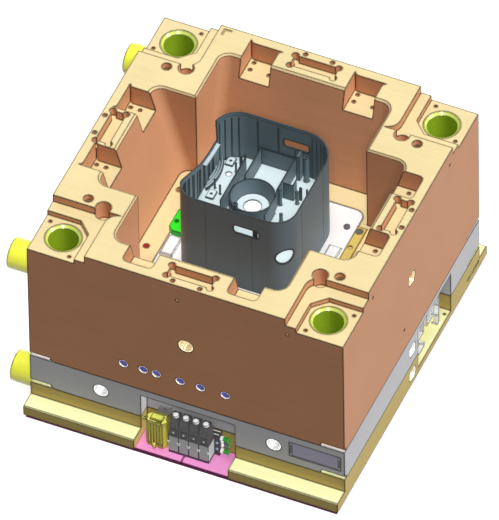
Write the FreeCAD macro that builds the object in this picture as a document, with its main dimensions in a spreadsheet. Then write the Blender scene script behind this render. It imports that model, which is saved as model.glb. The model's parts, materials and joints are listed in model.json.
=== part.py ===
"""Injection mould half, nozzle side, with its hot runner and the moulding that it makes.

The mould stands on its insulation board with the parting face up. X runs to the right along the
front, Y to the back and Z up. The origin is on the machine axis, on the underside of the board.
Every length is in millimetres.
"""
import FreeCAD, Part
import math
import os

import Sketcher
from FreeCAD import Placement, Rotation, Vector

DOC = FreeCAD.newDocument("InjectionMouldHalf")
SHEET = DOC.addObject("Spreadsheet::Sheet", "Sizes")

# The driving dimensions, each with the word that names its cell.
DIMENSIONS = {
    # Plates
    "plate_width": 900.0,
    "plate_depth": 900.0,
    "board_thick": 12.0,
    "board_inset": 5.0,
    "board_joint": 0.6,
    "clamp_thick": 78.0,
    "ledge_reach": 50.0,
    "ledge_thick": 33.0,
    "ledge_bevel": 3.0,
    "frame_thick": 105.0,
    "cavity_thick": 449.0,
    # Corner steps on the parting face
    "step_width": 164.0,
    "step_depth": 170.0,
    "step_drop": 24.0,
    "step_round": 38.0,
    "seat_side": 134.0,
    "seat_drop": 39.0,
    "seat_bevel": 37.0,
    "corner_hole_x": 141.5,
    "corner_hole_y": 179.6,
    "corner_hole_r": 21.0,
    "corner_hole_deep": 60.0,
    # Guide bushes
    "guide_inset": 73.0,
    "bush_r": 49.0,
    "bush_bore_r": 40.0,
    "bush_long": 160.0,
    "bush_lip": 7.0,
    "guide_relief_r": 43.0,
    "guide_relief_deep": 90.0,
    "seat_screw_near": 18.0,
    "seat_screw_far": 114.0,
    "seat_screw_r": 4.5,
    "seat_screw_deep": 25.0,
    # The cross-shaped pocket with its sloping lock walls
    "pocket_deep": 290.0,
    "arm_reach": 362.0,
    "arm_front": 194.0,
    "arm_back": 184.0,
    "arm_half": 243.0,
    "arm_round": 30.0,
    "wall_slope": 15.0,
    "rim_bevel": 5.0,
    # Wedge pockets and dog-bone pockets round the rim
    "lock_width": 84.0,
    "lock_deep": 63.0,
    "lock_inset": 28.5,
    "lock_round": 13.0,
    "lock_x": 148.5,
    "lock_y": 111.3,
    "lock_screw_r": 5.0,
    "lock_screw_near": 39.0,
    "lock_screw_far": 66.0,
    "lock_screw_side": 27.0,
    "lock_screw_deep": 30.0,
    "bone_deep": 27.0,
    "bone_half_x": 62.0,
    "bone_half_y": 57.0,
    "bone_near": 25.0,
    "bone_far": 63.0,
    "bone_corner_r": 9.0,
    "bone_screw_x": 38.5,
    "bone_screw_y": 33.5,
    "bone_screw_in": 12.5,
    "bone_screw_r": 6.0,
    "bone_screw_deep": 20.0,
    # Deep screws of the parting face
    "cap_x": 358.0,
    "cap_y": 256.0,
    "cap_r": 13.0,
    "cap_deep": 18.0,
    "cap_bore_r": 8.5,
    "cap_bore_deep": 70.0,
    # Lifting holes
    "lift_r": 21.0,
    "lift_deep": 80.0,
    "cavity_lift_up": 223.0,
    "frame_lift_up": 51.0,
    "frame_lift_x": 247.0,
    "clamp_lift_up": 36.0,
    # Water ports of the front face
    "port_x_1": -180.0,
    "port_x_2": -123.5,
    "port_x_3": -86.0,
    "port_x_4": -18.0,
    "port_x_5": 40.0,
    "port_x_6": 110.5,
    "port_up": 80.0,
    "port_r": 12.5,
    "port_deep": 16.0,
    "port_drill_r": 8.0,
    "port_drill_deep": 90.0,
    "nipple_set": 4.0,
    # Small tapped holes of the side faces, and the datum mark on the parting face
    "tap_r": 4.0,
    "tap_deep": 15.0,
    "front_tap_up": 392.0,
    "front_tap_left": -22.0,
    "front_tap_right": 291.0,
    "side_tap_up": 405.0,
    "side_tap_front": -254.0,
    "side_tap_back": 257.0,
    "side_tap_low": 76.0,
    "side_tap_middle": -51.0,
    "datum_left": 272.0,
    "datum_back": 440.0,
    "datum_long": 22.0,
    "datum_wide": 4.0,
    "datum_deep": 1.5,
    # Pry slots between the plates
    "pry_long": 68.0,
    "pry_side_long": 80.0,
    "pry_high": 12.0,
    "pry_deep": 10.0,
    "pry_round": 5.0,
    # Bay of the valve island in the front face
    "bay_left": 132.0,
    "bay_right": 136.0,
    "bay_deep": 37.0,
    "bay_up": 80.0,
    # Bay of the connectors in the right face
    "port_bay_front": 38.0,
    "port_bay_back": 258.0,
    "port_bay_deep": 60.0,
    "port_bay_floor": 21.0,
    "port_bay_up": 87.0,
    "bay_tap_x": 439.0,
    "bay_tap_y": 240.0,
    "bay_tap_r": 3.0,
    # Name plate and strap slot
    "name_left": 292.0,
    "name_right": 438.0,
    "name_up": 29.0,
    "name_high": 52.0,
    "name_deep": 4.0,
    "name_thick": 2.5,
    "slot_front": 368.0,
    "slot_back": 445.0,
    "slot_up": 24.0,
    "slot_high": 8.0,
    "slot_deep": 15.0,
    # Insert in the floor of the pocket
    "insert_half": 224.0,
    "insert_round": 28.0,
    "insert_thick": 110.0,
    "insert_gap": 0.1,
    # Moulded housing
    "housing_x": 1.0,
    "housing_y": 17.5,
    "housing_width": 330.0,
    "housing_depth": 337.0,
    "housing_high": 290.0,
    "housing_wall": 3.5,
    "housing_floor_drop": 171.0,
    "round_front": 60.0,
    "round_back_left": 72.0,
    "round_back_right": 88.0,
    "core_gap": 0.2,
    "cup_x": -16.0,
    "cup_y": 29.0,
    "cup_r": 61.5,
    "cup_high": 42.0,
    "cup_foot_r": 45.0,
    "cup_hole_r": 23.5,
    "box_left": -55.0,
    "box_right": 39.0,
    "box_high": 57.0,
    "box_wall": 4.0,
    "vent_left": 7.0,
    "vent_right": 82.0,
    "vent_drop": 51.0,
    "vent_high": 30.0,
    "vent_round": 10.0,
    "round_hole_r": 27.0,
    "round_hole_drop": 136.0,
    "round_hole_long": 40.0,
    "dip_front": -110.0,
    "dip_knee": 25.0,
    "dip_low": 80.0,
    "dip_back": 130.0,
    "dip_end": 127.0,
    "dip_knee_drop": 66.0,
    "dip_drop": 77.0,
    "dip_inside": 36.0,
    # What stands on the housing's inner floor
    "rail_thick": 4.0,
    "rail_left_x": -79.0,
    "rail_left_back": 130.0,
    "rail_left_high": 62.0,
    "rail_right_x": 46.5,
    "rail_right_high": 57.0,
    "rail_front_y": -34.0,
    "rail_front_high": 30.0,
    "pad_x": -132.0,
    "pad_near_y": 24.0,
    "pad_far_y": 152.0,
    "pad_wide": 22.0,
    "pad_long": 30.0,
    "pad_high": 5.0,
    "pad_hole_r": 3.0,
    "drain_x": -120.0,
    "drain_y": 111.0,
    "drain_r": 8.0,
    "stud_r": 3.0,
    "stud_high": 34.0,
    "stud_x_1": -133.0,
    "stud_y_1": 50.0,
    "stud_x_2": -112.0,
    "stud_y_2": 36.0,
    "stud_x_3": -105.0,
    "stud_y_3": 125.0,
    "boss_r": 5.0,
    "low_boss_x": 75.0,
    "low_boss_y": 7.0,
    "low_boss_high": 30.0,
    "high_boss_x": 88.0,
    "high_boss_y": 83.0,
    "high_boss_high": 45.0,
    "wall_boss_x": 49.0,
    "wall_boss_y": 62.0,
    "wall_boss_high": 60.0,
    "tower_x": 78.0,
    "tower_y": 168.0,
    "tower_r": 8.0,
    "tower_hole_r": 4.0,
    "tower_high": 90.0,
    "spine_left": 52.0,
    "spine_right": 62.0,
    "spine_front": 160.0,
    "spine_high": 104.0,
    "nook_left": 46.0,
    "nook_right": 75.0,
    "nook_front": 88.0,
    "nook_back": 112.0,
    "nook_thick": 3.0,
    "nook_high": 57.0,
    "lug_x": -45.5,
    "lug_y": -18.0,
    "lug_r": 8.0,
    "lug_hole_r": 3.5,
    "lug_high": 44.0,
    # Pieces on the floor of the pocket
    "side_lock_gap": 14.0,
    "side_lock_wide": 51.0,
    "side_lock_front": 47.0,
    "side_lock_back": 30.0,
    "side_lock_high": 18.0,
    "side_lock_bevel": 12.0,
    "side_lock_hole_r": 5.0,
    "interlock_gap": 17.0,
    "interlock_wide": 37.0,
    "interlock_long": 70.0,
    "interlock_high": 10.0,
    "interlock_left_back": -54.0,
    "interlock_right_back": 77.0,
    "interlock_bevel": 3.0,
    "strip_gap": 6.0,
    "strip_wide": 28.0,
    "strip_front": -150.0,
    "strip_back": 166.0,
    "strip_high": 6.0,
    "strip_screw_in": 11.0,
    "strip_screw_y": 149.0,
    "strip_tap_y": 89.0,
    "pin_gap": 33.0,
    "pin_y": 155.0,
    "pin_r": 9.0,
    "pin_high": 5.0,
    "plug_x": -262.0,
    "plug_y": 109.0,
    "plug_r": 8.0,
    "plug_deep": 14.0,
    # Foot pillars of the left face
    "pillar_r": 43.0,
    "pillar_long": 75.0,
    "pillar_y": 378.0,
    "pillar_low": 52.0,
    "pillar_high": 489.0,
    "pillar_bevel": 3.0,
    # Hot runner
    "chamber_half_x": 200.0,
    "chamber_half_y": 185.0,
    "chamber_round": 20.0,
    "hot_low": 30.0,
    "hot_thick": 50.0,
    "hot_arm": 76.0,
    "hot_bar": 96.0,
    "nozzle_pitch_x": 180.0,
    "nozzle_pitch_y": 190.0,
    "nozzle_head_r": 25.0,
    "nozzle_seat": 10.0,
    "nozzle_r": 15.0,
    "nozzle_air": 3.0,
    "nozzle_tip_long": 24.0,
    "nozzle_tip_r": 6.0,
    "pin_shank_r": 2.5,
    "pin_air": 0.4,
    "piston_r": 25.0,
    "piston_air": 0.3,
    "piston_thick": 12.0,
    "piston_stroke": 10.0,
    "cylinder_wall": 7.0,
    "cylinder_set": 30.0,
    "cylinder_base": 6.0,
    "cylinder_lid": 16.0,
    "ring_r": 80.0,
    "ring_set": 10.0,
    "ring_bore_r": 30.0,
    "sprue_flange_r": 36.0,
    "sprue_flange_thick": 14.0,
    "sprue_r": 22.0,
    "sprue_bore_r": 5.0,
    "sprue_cup_r": 16.0,
    # Screws through the plates from below
    "tie_x": 330.0,
    "tie_y": 400.0,
    "tie_head_r": 16.0,
    "tie_head_high": 20.0,
    "tie_r": 10.0,
    "tie_grip": 40.0,
    "tie_air": 0.5,
    # Valve island
    "valve_left": -45.0,
    "valve_pitch": 28.75,
    "valve_joint": 0.5,
    "valve_front": -472.0,
    "valve_back": -435.0,
    "valve_base_high": 8.0,
    "valve_body_high": 56.0,
    "valve_cap_high": 63.0,
    "valve_cap_taper": 6.0,
    "button_r": 8.5,
    "button_out": 5.0,
    "button_in": 6.0,
    "button_air": 0.3,
    "button_travel": 3.0,
    "air_block_wide": 28.0,
    "air_block_front": -460.0,
    "air_block_back": -425.0,
    "air_block_high": 123.0,
    "fitting_r": 8.5,
    "fitting_long": 16.0,
    "fitting_bore_r": 4.0,
    "fitting_front": -451.0,
    "fitting_row": 18.0,
    "fitting_low": 38.0,
    "fitting_rise": 45.0,
    "ribbed_left": -114.0,
    "ribbed_right": -49.0,
    "ribbed_front": -480.0,
    "ribbed_back": -450.0,
    "ribbed_high": 122.0,
    "ribbed_corner": 8.0,
    "groove_pitch": 10.0,
    "groove_wide": 5.0,
    "groove_deep": 3.0,
    "groove_margin": 11.0,
    "ribbed_head_inset": 13.0,
    "ribbed_head_high": 6.0,
    "eyelet_r": 7.0,
    "eyelet_hole_r": 3.0,
    "eyelet_thick": 6.0,
    "eyelet_in": 8.0,
    "stub_x": -92.0,
    "stub_up": 8.0,
    "stub_r": 4.5,
    "stub_long": 10.0,
    "bracket_x": -71.0,
    "bracket_half": 17.0,
    "bracket_up": 112.0,
    "bracket_high": 25.0,
    "bracket_thick": 6.0,
    "bracket_hole_r": 6.0,
    # Connector sockets in the right bay
    "socket_front_1": 58.0,
    "socket_front_2": 158.0,
    "socket_long": 80.0,
    "socket_low": 28.0,
    "socket_high": 62.0,
    "socket_deep": 34.0,
    "socket_wall": 4.0,
    "socket_pocket": 20.0,
    "lever_thick": 4.0,
    "lever_air": 0.4,
    "lever_pivot_r": 4.0,
    "lever_arm": 40.0,
    "lever_wide": 12.0,
}


class Size:
    """A length kept with the expression that ties a feature to the sheet."""

    def __init__(self, number, text):
        self.number = float(number)
        self.text = text

    def __add__(self, other):
        other = as_size(other)
        return Size(self.number + other.number, f"({self.text} + {other.text})")

    def __radd__(self, other):
        return as_size(other) + self

    def __sub__(self, other):
        other = as_size(other)
        return Size(self.number - other.number, f"({self.text} - {other.text})")

    def __rsub__(self, other):
        return as_size(other) - self

    def __mul__(self, other):
        other = as_size(other)
        return Size(self.number * other.number, f"({self.text} * {other.text})")

    def __rmul__(self, other):
        return as_size(other) * self

    def __truediv__(self, other):
        other = as_size(other)
        return Size(self.number / other.number, f"({self.text} / {other.text})")

    def __neg__(self):
        return Size(-self.number, f"(0 - {self.text})")


def as_size(value):
    """A plain number becomes a size that is tied to nothing."""
    if isinstance(value, Size):
        return value
    return Size(value, repr(float(value)))


def tangent(angle):
    """The tangent of an angle in degrees."""
    return Size(math.tan(math.radians(angle.number)), f"tan({angle.text} * 1 deg)")


class Dimensions:
    """The sheet's cells by name, as sizes."""

    def __init__(self, table):
        for row, (name, number) in enumerate(table.items(), start=1):
            cell = f"A{row}"
            SHEET.set(cell, str(number))
            SHEET.setAlias(cell, name)
            setattr(self, name, Size(number, f"Sizes.{name}"))


S = Dimensions(DIMENSIONS)
DOC.recompute()

# Levels above the underside of the insulation board
Z_CLAMP = S.board_thick
Z_FRAME = Z_CLAMP + S.clamp_thick
Z_CAVITY = Z_FRAME + S.frame_thick
Z_TOP = Z_CAVITY + S.cavity_thick
Z_FLOOR = Z_TOP - S.pocket_deep
Z_INSERT = Z_FLOOR - S.insert_thick
Z_RIM = Z_FLOOR + S.housing_high
Z_INNER_FLOOR = Z_RIM - S.housing_floor_drop
Z_CORE = Z_INNER_FLOOR - S.housing_wall
Z_HOT = Z_FRAME + S.hot_low
Z_HOT_TOP = Z_HOT + S.hot_thick
Z_LEDGE = Z_CLAMP + S.ledge_thick

HALF_X = S.plate_width / 2
HALF_Y = S.plate_depth / 2
GUIDE_X = HALF_X - S.guide_inset
GUIDE_Y = HALF_Y - S.guide_inset
BEYOND = 10.0
CORNERS = [(-1, -1), (1, -1), (1, 1), (-1, 1)]


class Ring:
    """A circle in a sketch."""

    def __init__(self, across, along, radius):
        self.across = as_size(across)
        self.along = as_size(along)
        self.radius = as_size(radius)

    def draw(self, drawing):
        centre = Vector(self.across.number, self.along.number, 0)
        geo = drawing.sketch.addGeometry(Part.Circle(centre, Vector(0, 0, 1), self.radius.number), False)
        drawing.tie("DistanceX", geo, 3, self.across)
        drawing.tie("DistanceY", geo, 3, self.along)
        drawing.tie_radius(geo, self.radius)


class Outline:
    """A closed outline of straight runs, with a tangent arc at each corner that names a radius."""

    def __init__(self, corners):
        self.points = [(as_size(c[0]), as_size(c[1])) for c in corners]
        self.radii = [as_size(c[2]) if len(c) > 2 else None for c in corners]

    def corner(self, i):
        """The corner's two tangent points and its arc, or the corner itself twice and no arc."""
        count = len(self.points)
        before, here, after = [
            Vector(self.points[k % count][0].number, self.points[k % count][1].number, 0)
            for k in (i - 1, i, i + 1)
        ]
        if self.radii[i] is None:
            return here, here, None
        back = (before - here).normalize()
        ahead = (after - here).normalize()
        half_angle = back.getAngle(ahead) / 2
        radius = self.radii[i].number
        run = radius / math.tan(half_angle)
        centre = here + (back + ahead).normalize() * (radius / math.sin(half_angle))
        middle = centre + (here - centre).normalize() * radius
        start = here + back * run
        end = here + ahead * run
        return start, end, Part.Arc(start, middle, end)

    def draw(self, drawing):
        count = len(self.points)
        sketch = drawing.sketch
        corners = [self.corner(i) for i in range(count)]
        lines = []
        for i in range(count):
            run = Part.LineSegment(corners[i][1], corners[(i + 1) % count][0])
            lines.append(sketch.addGeometry(run, False))
        for i in range(count):
            self.join(drawing, i, lines[i - 1], lines[i], corners[i])

    def join(self, drawing, i, line_in, line_out, corner):
        """Join two runs at a corner, square or through an arc, and tie the corner to the sheet."""
        sketch = drawing.sketch
        start, _, arc = corner
        across, along = self.points[i]
        if arc is None:
            sketch.addConstraint(Sketcher.Constraint("Coincident", line_in, 2, line_out, 1))
            drawing.tie("DistanceX", line_out, 1, across)
            drawing.tie("DistanceY", line_out, 1, along)
            return
        bend = sketch.addGeometry(arc, False)
        mark = sketch.addGeometry(Part.Point(Vector(across.number, along.number, 0)), True)
        near, far = (1, 2) if (arc.StartPoint - start).Length < 1e-6 else (2, 1)
        sketch.addConstraint([
            Sketcher.Constraint("Tangent", line_in, 2, bend, near),
            Sketcher.Constraint("Tangent", bend, far, line_out, 1),
            Sketcher.Constraint("PointOnObject", mark, 1, line_in),
            Sketcher.Constraint("PointOnObject", mark, 1, line_out),
        ])
        drawing.tie("DistanceX", mark, 1, across)
        drawing.tie("DistanceY", mark, 1, along)
        drawing.tie_radius(bend, self.radii[i])


def rectangle(left, right, front, back, radius=None):
    """A rectangle from its four sides, with one radius for its corners or none."""
    corners = [(left, front), (right, front), (right, back), (left, back)]
    if radius is not None:
        corners = [corner + (radius,) for corner in corners]
    return Outline(corners)


class Drawing:
    """A sketch across one of a body's own planes, at a level measured along that plane's axis."""

    def __init__(self, body, name, plane, level):
        self.sketch = body.newObject("Sketcher::SketchObject", name)
        support = [f for f in body.Origin.OriginFeatures if f.Role == plane][0]
        self.sketch.AttachmentSupport = [(support, "")]
        self.sketch.MapMode = "FlatFace"
        offset = -as_size(level) if plane == "XZ_Plane" else as_size(level)
        self.sketch.AttachmentOffset = Placement(Vector(0, 0, offset.number), Rotation())
        self.sketch.setExpression("AttachmentOffset.Base.z", offset.text)

    def tie(self, kind, geo, position, size):
        """Hold a point at a distance from the sketch's origin that follows the sheet."""
        index = self.sketch.addConstraint(Sketcher.Constraint(kind, -1, 1, geo, position, size.number))
        self.sketch.setExpression(f"Constraints[{index}]", size.text)

    def tie_radius(self, geo, size):
        index = self.sketch.addConstraint(Sketcher.Constraint("Radius", geo, size.number))
        self.sketch.setExpression(f"Constraints[{index}]", size.text)


def new_body(name):
    body = DOC.addObject("PartDesign::Body", name)
    body.Label = name
    return body


def prism(body, name, plane, start, end, loops, cut=False):
    """Add the loops to a body, or cut them from it, between two levels across a plane."""
    drawing = Drawing(body, name + "_sketch", plane, start)
    for loop in loops:
        loop.draw(drawing)
    feature = body.newObject("PartDesign::Pocket" if cut else "PartDesign::Pad", name)
    feature.Profile = drawing.sketch
    run = as_size(end) - as_size(start)
    upward = run.number > 0
    length = run if upward else -run
    feature.Length = length.number
    feature.setExpression("Length", length.text)
    along_normal = upward != (plane == "XZ_Plane")
    feature.Reversed = along_normal == cut
    drawing.sketch.Visibility = False
    return feature


def turned(body, name, corners, cut=False):
    """Turn a profile of radius and height about the body's own Z axis."""
    drawing = Drawing(body, name + "_sketch", "XZ_Plane", 0)
    Outline(corners).draw(drawing)
    feature = body.newObject("PartDesign::Groove" if cut else "PartDesign::Revolution", name)
    feature.Profile = drawing.sketch
    feature.ReferenceAxis = (drawing.sketch, ["V_Axis"])
    feature.Angle = 360
    return feature


def edges_where(shape, test):
    """The names of the edges that pass a test."""
    return [f"Edge{i}" for i, edge in enumerate(shape.Edges, start=1) if test(edge)]


def bevel(body, name, size, test, rounded=False):
    """Chamfer, or round, the edges of a body's last feature that pass a test."""
    DOC.recompute()
    base = body.Tip
    kind = "PartDesign::Fillet" if rounded else "PartDesign::Chamfer"
    names = edges_where(base.Shape, test)
    feature = body.newObject(kind, name)
    feature.Base = (base, names)
    prop = "Radius" if rounded else "Size"
    setattr(feature, prop, size.number)
    feature.setExpression(prop, size.text)
    return feature


def group(name, pieces):
    """One sub-part of several like pieces."""
    compound = DOC.addObject("Part::Compound", name)
    compound.Label = name
    compound.Links = pieces


def place(item, across, along, up, rotation=None):
    """Put a piece at a point that follows the sheet."""
    spot = [as_size(across), as_size(along), as_size(up)]
    item.Placement = Placement(Vector(*[c.number for c in spot]), rotation or Rotation())
    for axis, coordinate in zip("xyz", spot):
        item.setExpression(f"Placement.Base.{axis}", coordinate.text)


def lies_at(edge, z):
    """True for an edge that lies wholly at one height."""
    box = edge.BoundBox
    return abs(box.ZMin - z.number) < 1e-4 and abs(box.ZMax - z.number) < 1e-4


def nozzle_spots():
    """The four drops of the hot runner, under the floor of the moulding."""
    half_x = S.nozzle_pitch_x / 2
    half_y = S.nozzle_pitch_y / 2
    return [(S.housing_x + half_x * sx, S.housing_y + half_y * sy) for sx, sy in CORNERS]


def tie_spots():
    return [(S.tie_x * sx, S.tie_y * sy) for sx, sy in CORNERS]


def plate(name, low, high):
    body = new_body(name)
    prism(body, name + "_slab", "XY_Plane", low, high, [rectangle(-HALF_X, HALF_X, -HALF_Y, HALF_Y)])
    return body


def corner_notch(sx, sy, width, depth, corner, radius=None):
    """The loop of a notch at one corner of a plate; corner adds the points of its inner corner."""
    outer_x = (HALF_X + BEYOND) * sx
    outer_y = (HALF_Y + BEYOND) * sy
    inner_x = (HALF_X - width) * sx
    inner_y = (HALF_Y - depth) * sy
    if corner == "round":
        inner = [(inner_x, inner_y, radius)]
    else:
        inner = [(inner_x + radius * sx, inner_y), (inner_x, inner_y + radius * sy)]
    return Outline([(outer_x, outer_y), (outer_x, inner_y)] + inner + [(inner_x, outer_y)])


def lift_hole(body, name, plane, face, inward, across, up):
    """A threaded lifting hole in a side face."""
    prism(body, name, plane, face, face + S.lift_deep * inward, [Ring(across, up, S.lift_r)], cut=True)


def pry_slots(body, name, low):
    """Slots at the lower corners of a plate, where a bar lifts it off the plate below."""
    high = low + S.pry_high
    inner_x = HALF_X - S.pry_long
    inner_y = HALF_Y - S.pry_side_long
    for label, face, inward in (("front", -HALF_Y, 1), ("back", HALF_Y, -1)):
        loops = []
        for side in (-1, 1):
            loops.append(Outline([
                ((HALF_X + BEYOND) * side, low - BEYOND),
                ((HALF_X + BEYOND) * side, high),
                (inner_x * side, high, S.pry_round),
                (inner_x * side, low - BEYOND),
            ]))
        prism(body, f"{name}_{label}", "XZ_Plane", face, face + S.pry_deep * inward, loops, cut=True)
    for label, face, inward in (("left", -HALF_X, 1), ("right", HALF_X, -1)):
        loop = Outline([
            (HALF_Y + BEYOND, low - BEYOND),
            (HALF_Y + BEYOND, high),
            (inner_y, high, S.pry_round),
            (inner_y, low - BEYOND),
        ])
        prism(body, f"{name}_{label}", "YZ_Plane", face, face + S.pry_deep * inward, [loop], cut=True)


def loft_cut(body, name, upper, z_upper, lower, z_lower):
    """Cut the space between an upper loop and a lower one of the same form."""
    rim = Drawing(body, name + "_rim", "XY_Plane", z_upper)
    upper.draw(rim)
    foot = Drawing(body, name + "_foot", "XY_Plane", z_lower)
    lower.draw(foot)
    loft = body.newObject("PartDesign::SubtractiveLoft", name)
    loft.Profile = rim.sketch
    loft.Sections = [foot.sketch]
    loft.Ruled = True


def wide_arm(reach, wider=0):
    """The loop of the arm that runs left to right, made wider all round for its rim."""
    wider = as_size(wider)
    return rectangle(
        -reach - wider, reach + wider, -S.arm_front - wider, S.arm_back + wider, S.arm_round + wider,
    )


def deep_arm(reach, wider=0):
    """The loop of the arm that runs front to back."""
    wider = as_size(wider)
    return rectangle(
        -S.arm_half - wider, S.arm_half + wider, -reach - wider, reach + wider, S.arm_round + wider,
    )


def cut_cross(body):
    """The cross-shaped pocket: each arm is a loft from its rim to its shorter floor, with a bevelled rim."""
    slope = tangent(S.wall_slope)
    z_bevel = Z_TOP - S.rim_bevel
    for name, arm in (("wide_arm", wide_arm), ("deep_arm", deep_arm)):
        foot = arm(S.arm_reach - S.pocket_deep * slope)
        loft_cut(body, name, arm(S.arm_reach), Z_TOP, foot, Z_FLOOR)
        below = arm(S.arm_reach - S.rim_bevel * slope)
        loft_cut(body, name + "_bevel", arm(S.arm_reach, S.rim_bevel), Z_TOP, below, z_bevel)


def cut_corner_steps(body):
    """Two steps down to each guide bush."""
    z_step = Z_TOP - S.step_drop
    z_seat = Z_TOP - S.seat_drop
    upper = [corner_notch(sx, sy, S.step_width, S.step_depth, "round", S.step_round) for sx, sy in CORNERS]
    prism(body, "corner_steps", "XY_Plane", Z_TOP, z_step, upper, cut=True)
    lower = [corner_notch(sx, sy, S.seat_side, S.seat_side, "bevel", S.seat_bevel) for sx, sy in CORNERS]
    prism(body, "bush_seats", "XY_Plane", z_step, z_seat, lower, cut=True)


def cut_guide_bores(body):
    z_seat = Z_TOP - S.seat_drop
    z_bush = z_seat - S.bush_long
    bores = [Ring(GUIDE_X * sx, GUIDE_Y * sy, S.bush_r) for sx, sy in CORNERS]
    prism(body, "bush_bores", "XY_Plane", z_seat, z_bush, bores, cut=True)
    reliefs = [Ring(GUIDE_X * sx, GUIDE_Y * sy, S.guide_relief_r) for sx, sy in CORNERS]
    prism(body, "pillar_reliefs", "XY_Plane", z_bush, z_bush - S.guide_relief_deep, reliefs, cut=True)
    screws = []
    for sx, sy in CORNERS:
        for in_x, in_y in ((S.seat_screw_near, S.seat_screw_far), (S.seat_screw_far, S.seat_screw_near)):
            screws.append(Ring((HALF_X - in_x) * sx, (HALF_Y - in_y) * sy, S.seat_screw_r))
    prism(body, "seat_screw_holes", "XY_Plane", z_seat, z_seat - S.seat_screw_deep, screws, cut=True)


def wedge_pocket(along, inner, outer, turned_round):
    """The loop of one pocket in the rim; a pocket at a left or right end has its axes swapped."""
    half = S.lock_width / 2
    corners = [
        (along - half, inner), (along - half, outer, S.lock_round),
        (along + half, outer, S.lock_round), (along + half, inner),
    ]
    if turned_round:
        corners = [(c[1], c[0]) + c[2:] for c in corners]
    return Outline(corners)


def wedge_screws(along, reach, end, turned_round):
    """The four tapped holes in the floor of one such pocket."""
    rings = []
    for depth in (S.lock_screw_near, S.lock_screw_far):
        for offset in (-S.lock_screw_side, S.lock_screw_side):
            spot = (along + offset, (reach - depth) * end)
            if turned_round:
                spot = (spot[1], spot[0])
            rings.append(Ring(spot[0], spot[1], S.lock_screw_r))
    return rings


def cut_wedge_pockets(body):
    """Eight pockets in the rim that open into the arms, each with four tapped holes in its floor."""
    z_low = Z_TOP - S.lock_deep
    inner = S.arm_reach - S.lock_deep
    ends = [
        ("front", -1, S.lock_x, HALF_Y, False), ("back", 1, S.lock_x, HALF_Y, False),
        ("left", -1, S.lock_y, HALF_X, True), ("right", 1, S.lock_y, HALF_X, True),
    ]
    for label, end, along, reach, turned_round in ends:
        outer = (reach - S.lock_inset) * end
        for word, side in (("first", -1), ("second", 1)):
            name = f"wedge_{label}_{word}"
            pocket = wedge_pocket(along * side, inner * end, outer, turned_round)
            prism(body, name, "XY_Plane", Z_TOP, z_low, [pocket], cut=True)
            screws = wedge_screws(along * side, reach, end, turned_round)
            prism(body, name + "_holes", "XY_Plane", z_low, z_low - S.lock_screw_deep, screws, cut=True)


def cut_dog_bones(body):
    """Shallow pockets for the interlocks of the other half, with a relief circle in each corner."""
    z_low = Z_TOP - S.bone_deep
    pockets = []
    reliefs = []
    screws = []
    for end in (-1, 1):
        near = (HALF_Y - S.bone_near) * end
        far = (HALF_Y - S.bone_far) * end
        pockets.append(rectangle(-S.bone_half_x, S.bone_half_x, near, far))
        near_x = (HALF_X - S.bone_near) * end
        far_x = (HALF_X - S.bone_far) * end
        pockets.append(rectangle(near_x, far_x, -S.bone_half_y, S.bone_half_y))
        for side in (-1, 1):
            for depth in (near, far):
                reliefs.append(Ring(S.bone_half_x * side, depth, S.bone_corner_r))
            for depth in (near_x, far_x):
                reliefs.append(Ring(depth, S.bone_half_y * side, S.bone_corner_r))
            screws.append(Ring(S.bone_screw_x * side, (HALF_Y - S.bone_screw_in) * end, S.bone_screw_r))
            screws.append(Ring((HALF_X - S.bone_screw_in) * end, S.bone_screw_y * side, S.bone_screw_r))
    prism(body, "dog_bones", "XY_Plane", Z_TOP, z_low, pockets, cut=True)
    prism(body, "dog_bone_reliefs", "XY_Plane", Z_TOP, z_low, reliefs, cut=True)
    prism(body, "dog_bone_screw_holes", "XY_Plane", Z_TOP, Z_TOP - S.bone_screw_deep, screws, cut=True)


def cut_parting_holes(body):
    """Counterbored screw holes and the relief holes beside the corner steps."""
    heads = [Ring(S.cap_x * sx, S.cap_y * sy, S.cap_r) for sx, sy in CORNERS]
    prism(body, "cap_counterbores", "XY_Plane", Z_TOP, Z_TOP - S.cap_deep, heads, cut=True)
    bores = [Ring(S.cap_x * sx, S.cap_y * sy, S.cap_bore_r) for sx, sy in CORNERS]
    prism(body, "cap_bores", "XY_Plane", Z_TOP - S.cap_deep, Z_TOP - S.cap_bore_deep, bores, cut=True)
    reliefs = [
        Ring((HALF_X - S.corner_hole_x) * sx, (HALF_Y - S.corner_hole_y) * sy, S.corner_hole_r)
        for sx, sy in CORNERS
    ]
    prism(body, "corner_relief_holes", "XY_Plane", Z_TOP, Z_TOP - S.corner_hole_deep, reliefs, cut=True)


def cut_small_holes(body):
    """Tapped holes for hoses and straps in the front and right faces."""
    up = Z_CAVITY + S.front_tap_up
    front = [Ring(S.front_tap_left, up, S.tap_r), Ring(S.front_tap_right, up, S.tap_r)]
    prism(body, "front_taps", "XZ_Plane", -HALF_Y, S.tap_deep - HALF_Y, front, cut=True)
    up = Z_CAVITY + S.side_tap_up
    side = [
        Ring(S.side_tap_front, up, S.tap_r), Ring(S.side_tap_back, up, S.tap_r),
        Ring(S.side_tap_middle, Z_CAVITY + S.side_tap_low, S.tap_r),
    ]
    prism(body, "side_taps", "YZ_Plane", HALF_X, HALF_X - S.tap_deep, side, cut=True)


def cut_datum_mark(body):
    """An engraved angle that marks the datum corner of the parting face."""
    left = -S.datum_left
    back = S.datum_back
    right = left + S.datum_long
    front = back - S.datum_long
    angle = Outline([
        (left, front), (left + S.datum_wide, front), (left + S.datum_wide, back - S.datum_wide),
        (right, back - S.datum_wide), (right, back), (left, back),
    ])
    prism(body, "datum_mark", "XY_Plane", Z_TOP, Z_TOP - S.datum_deep, [angle], cut=True)


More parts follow.
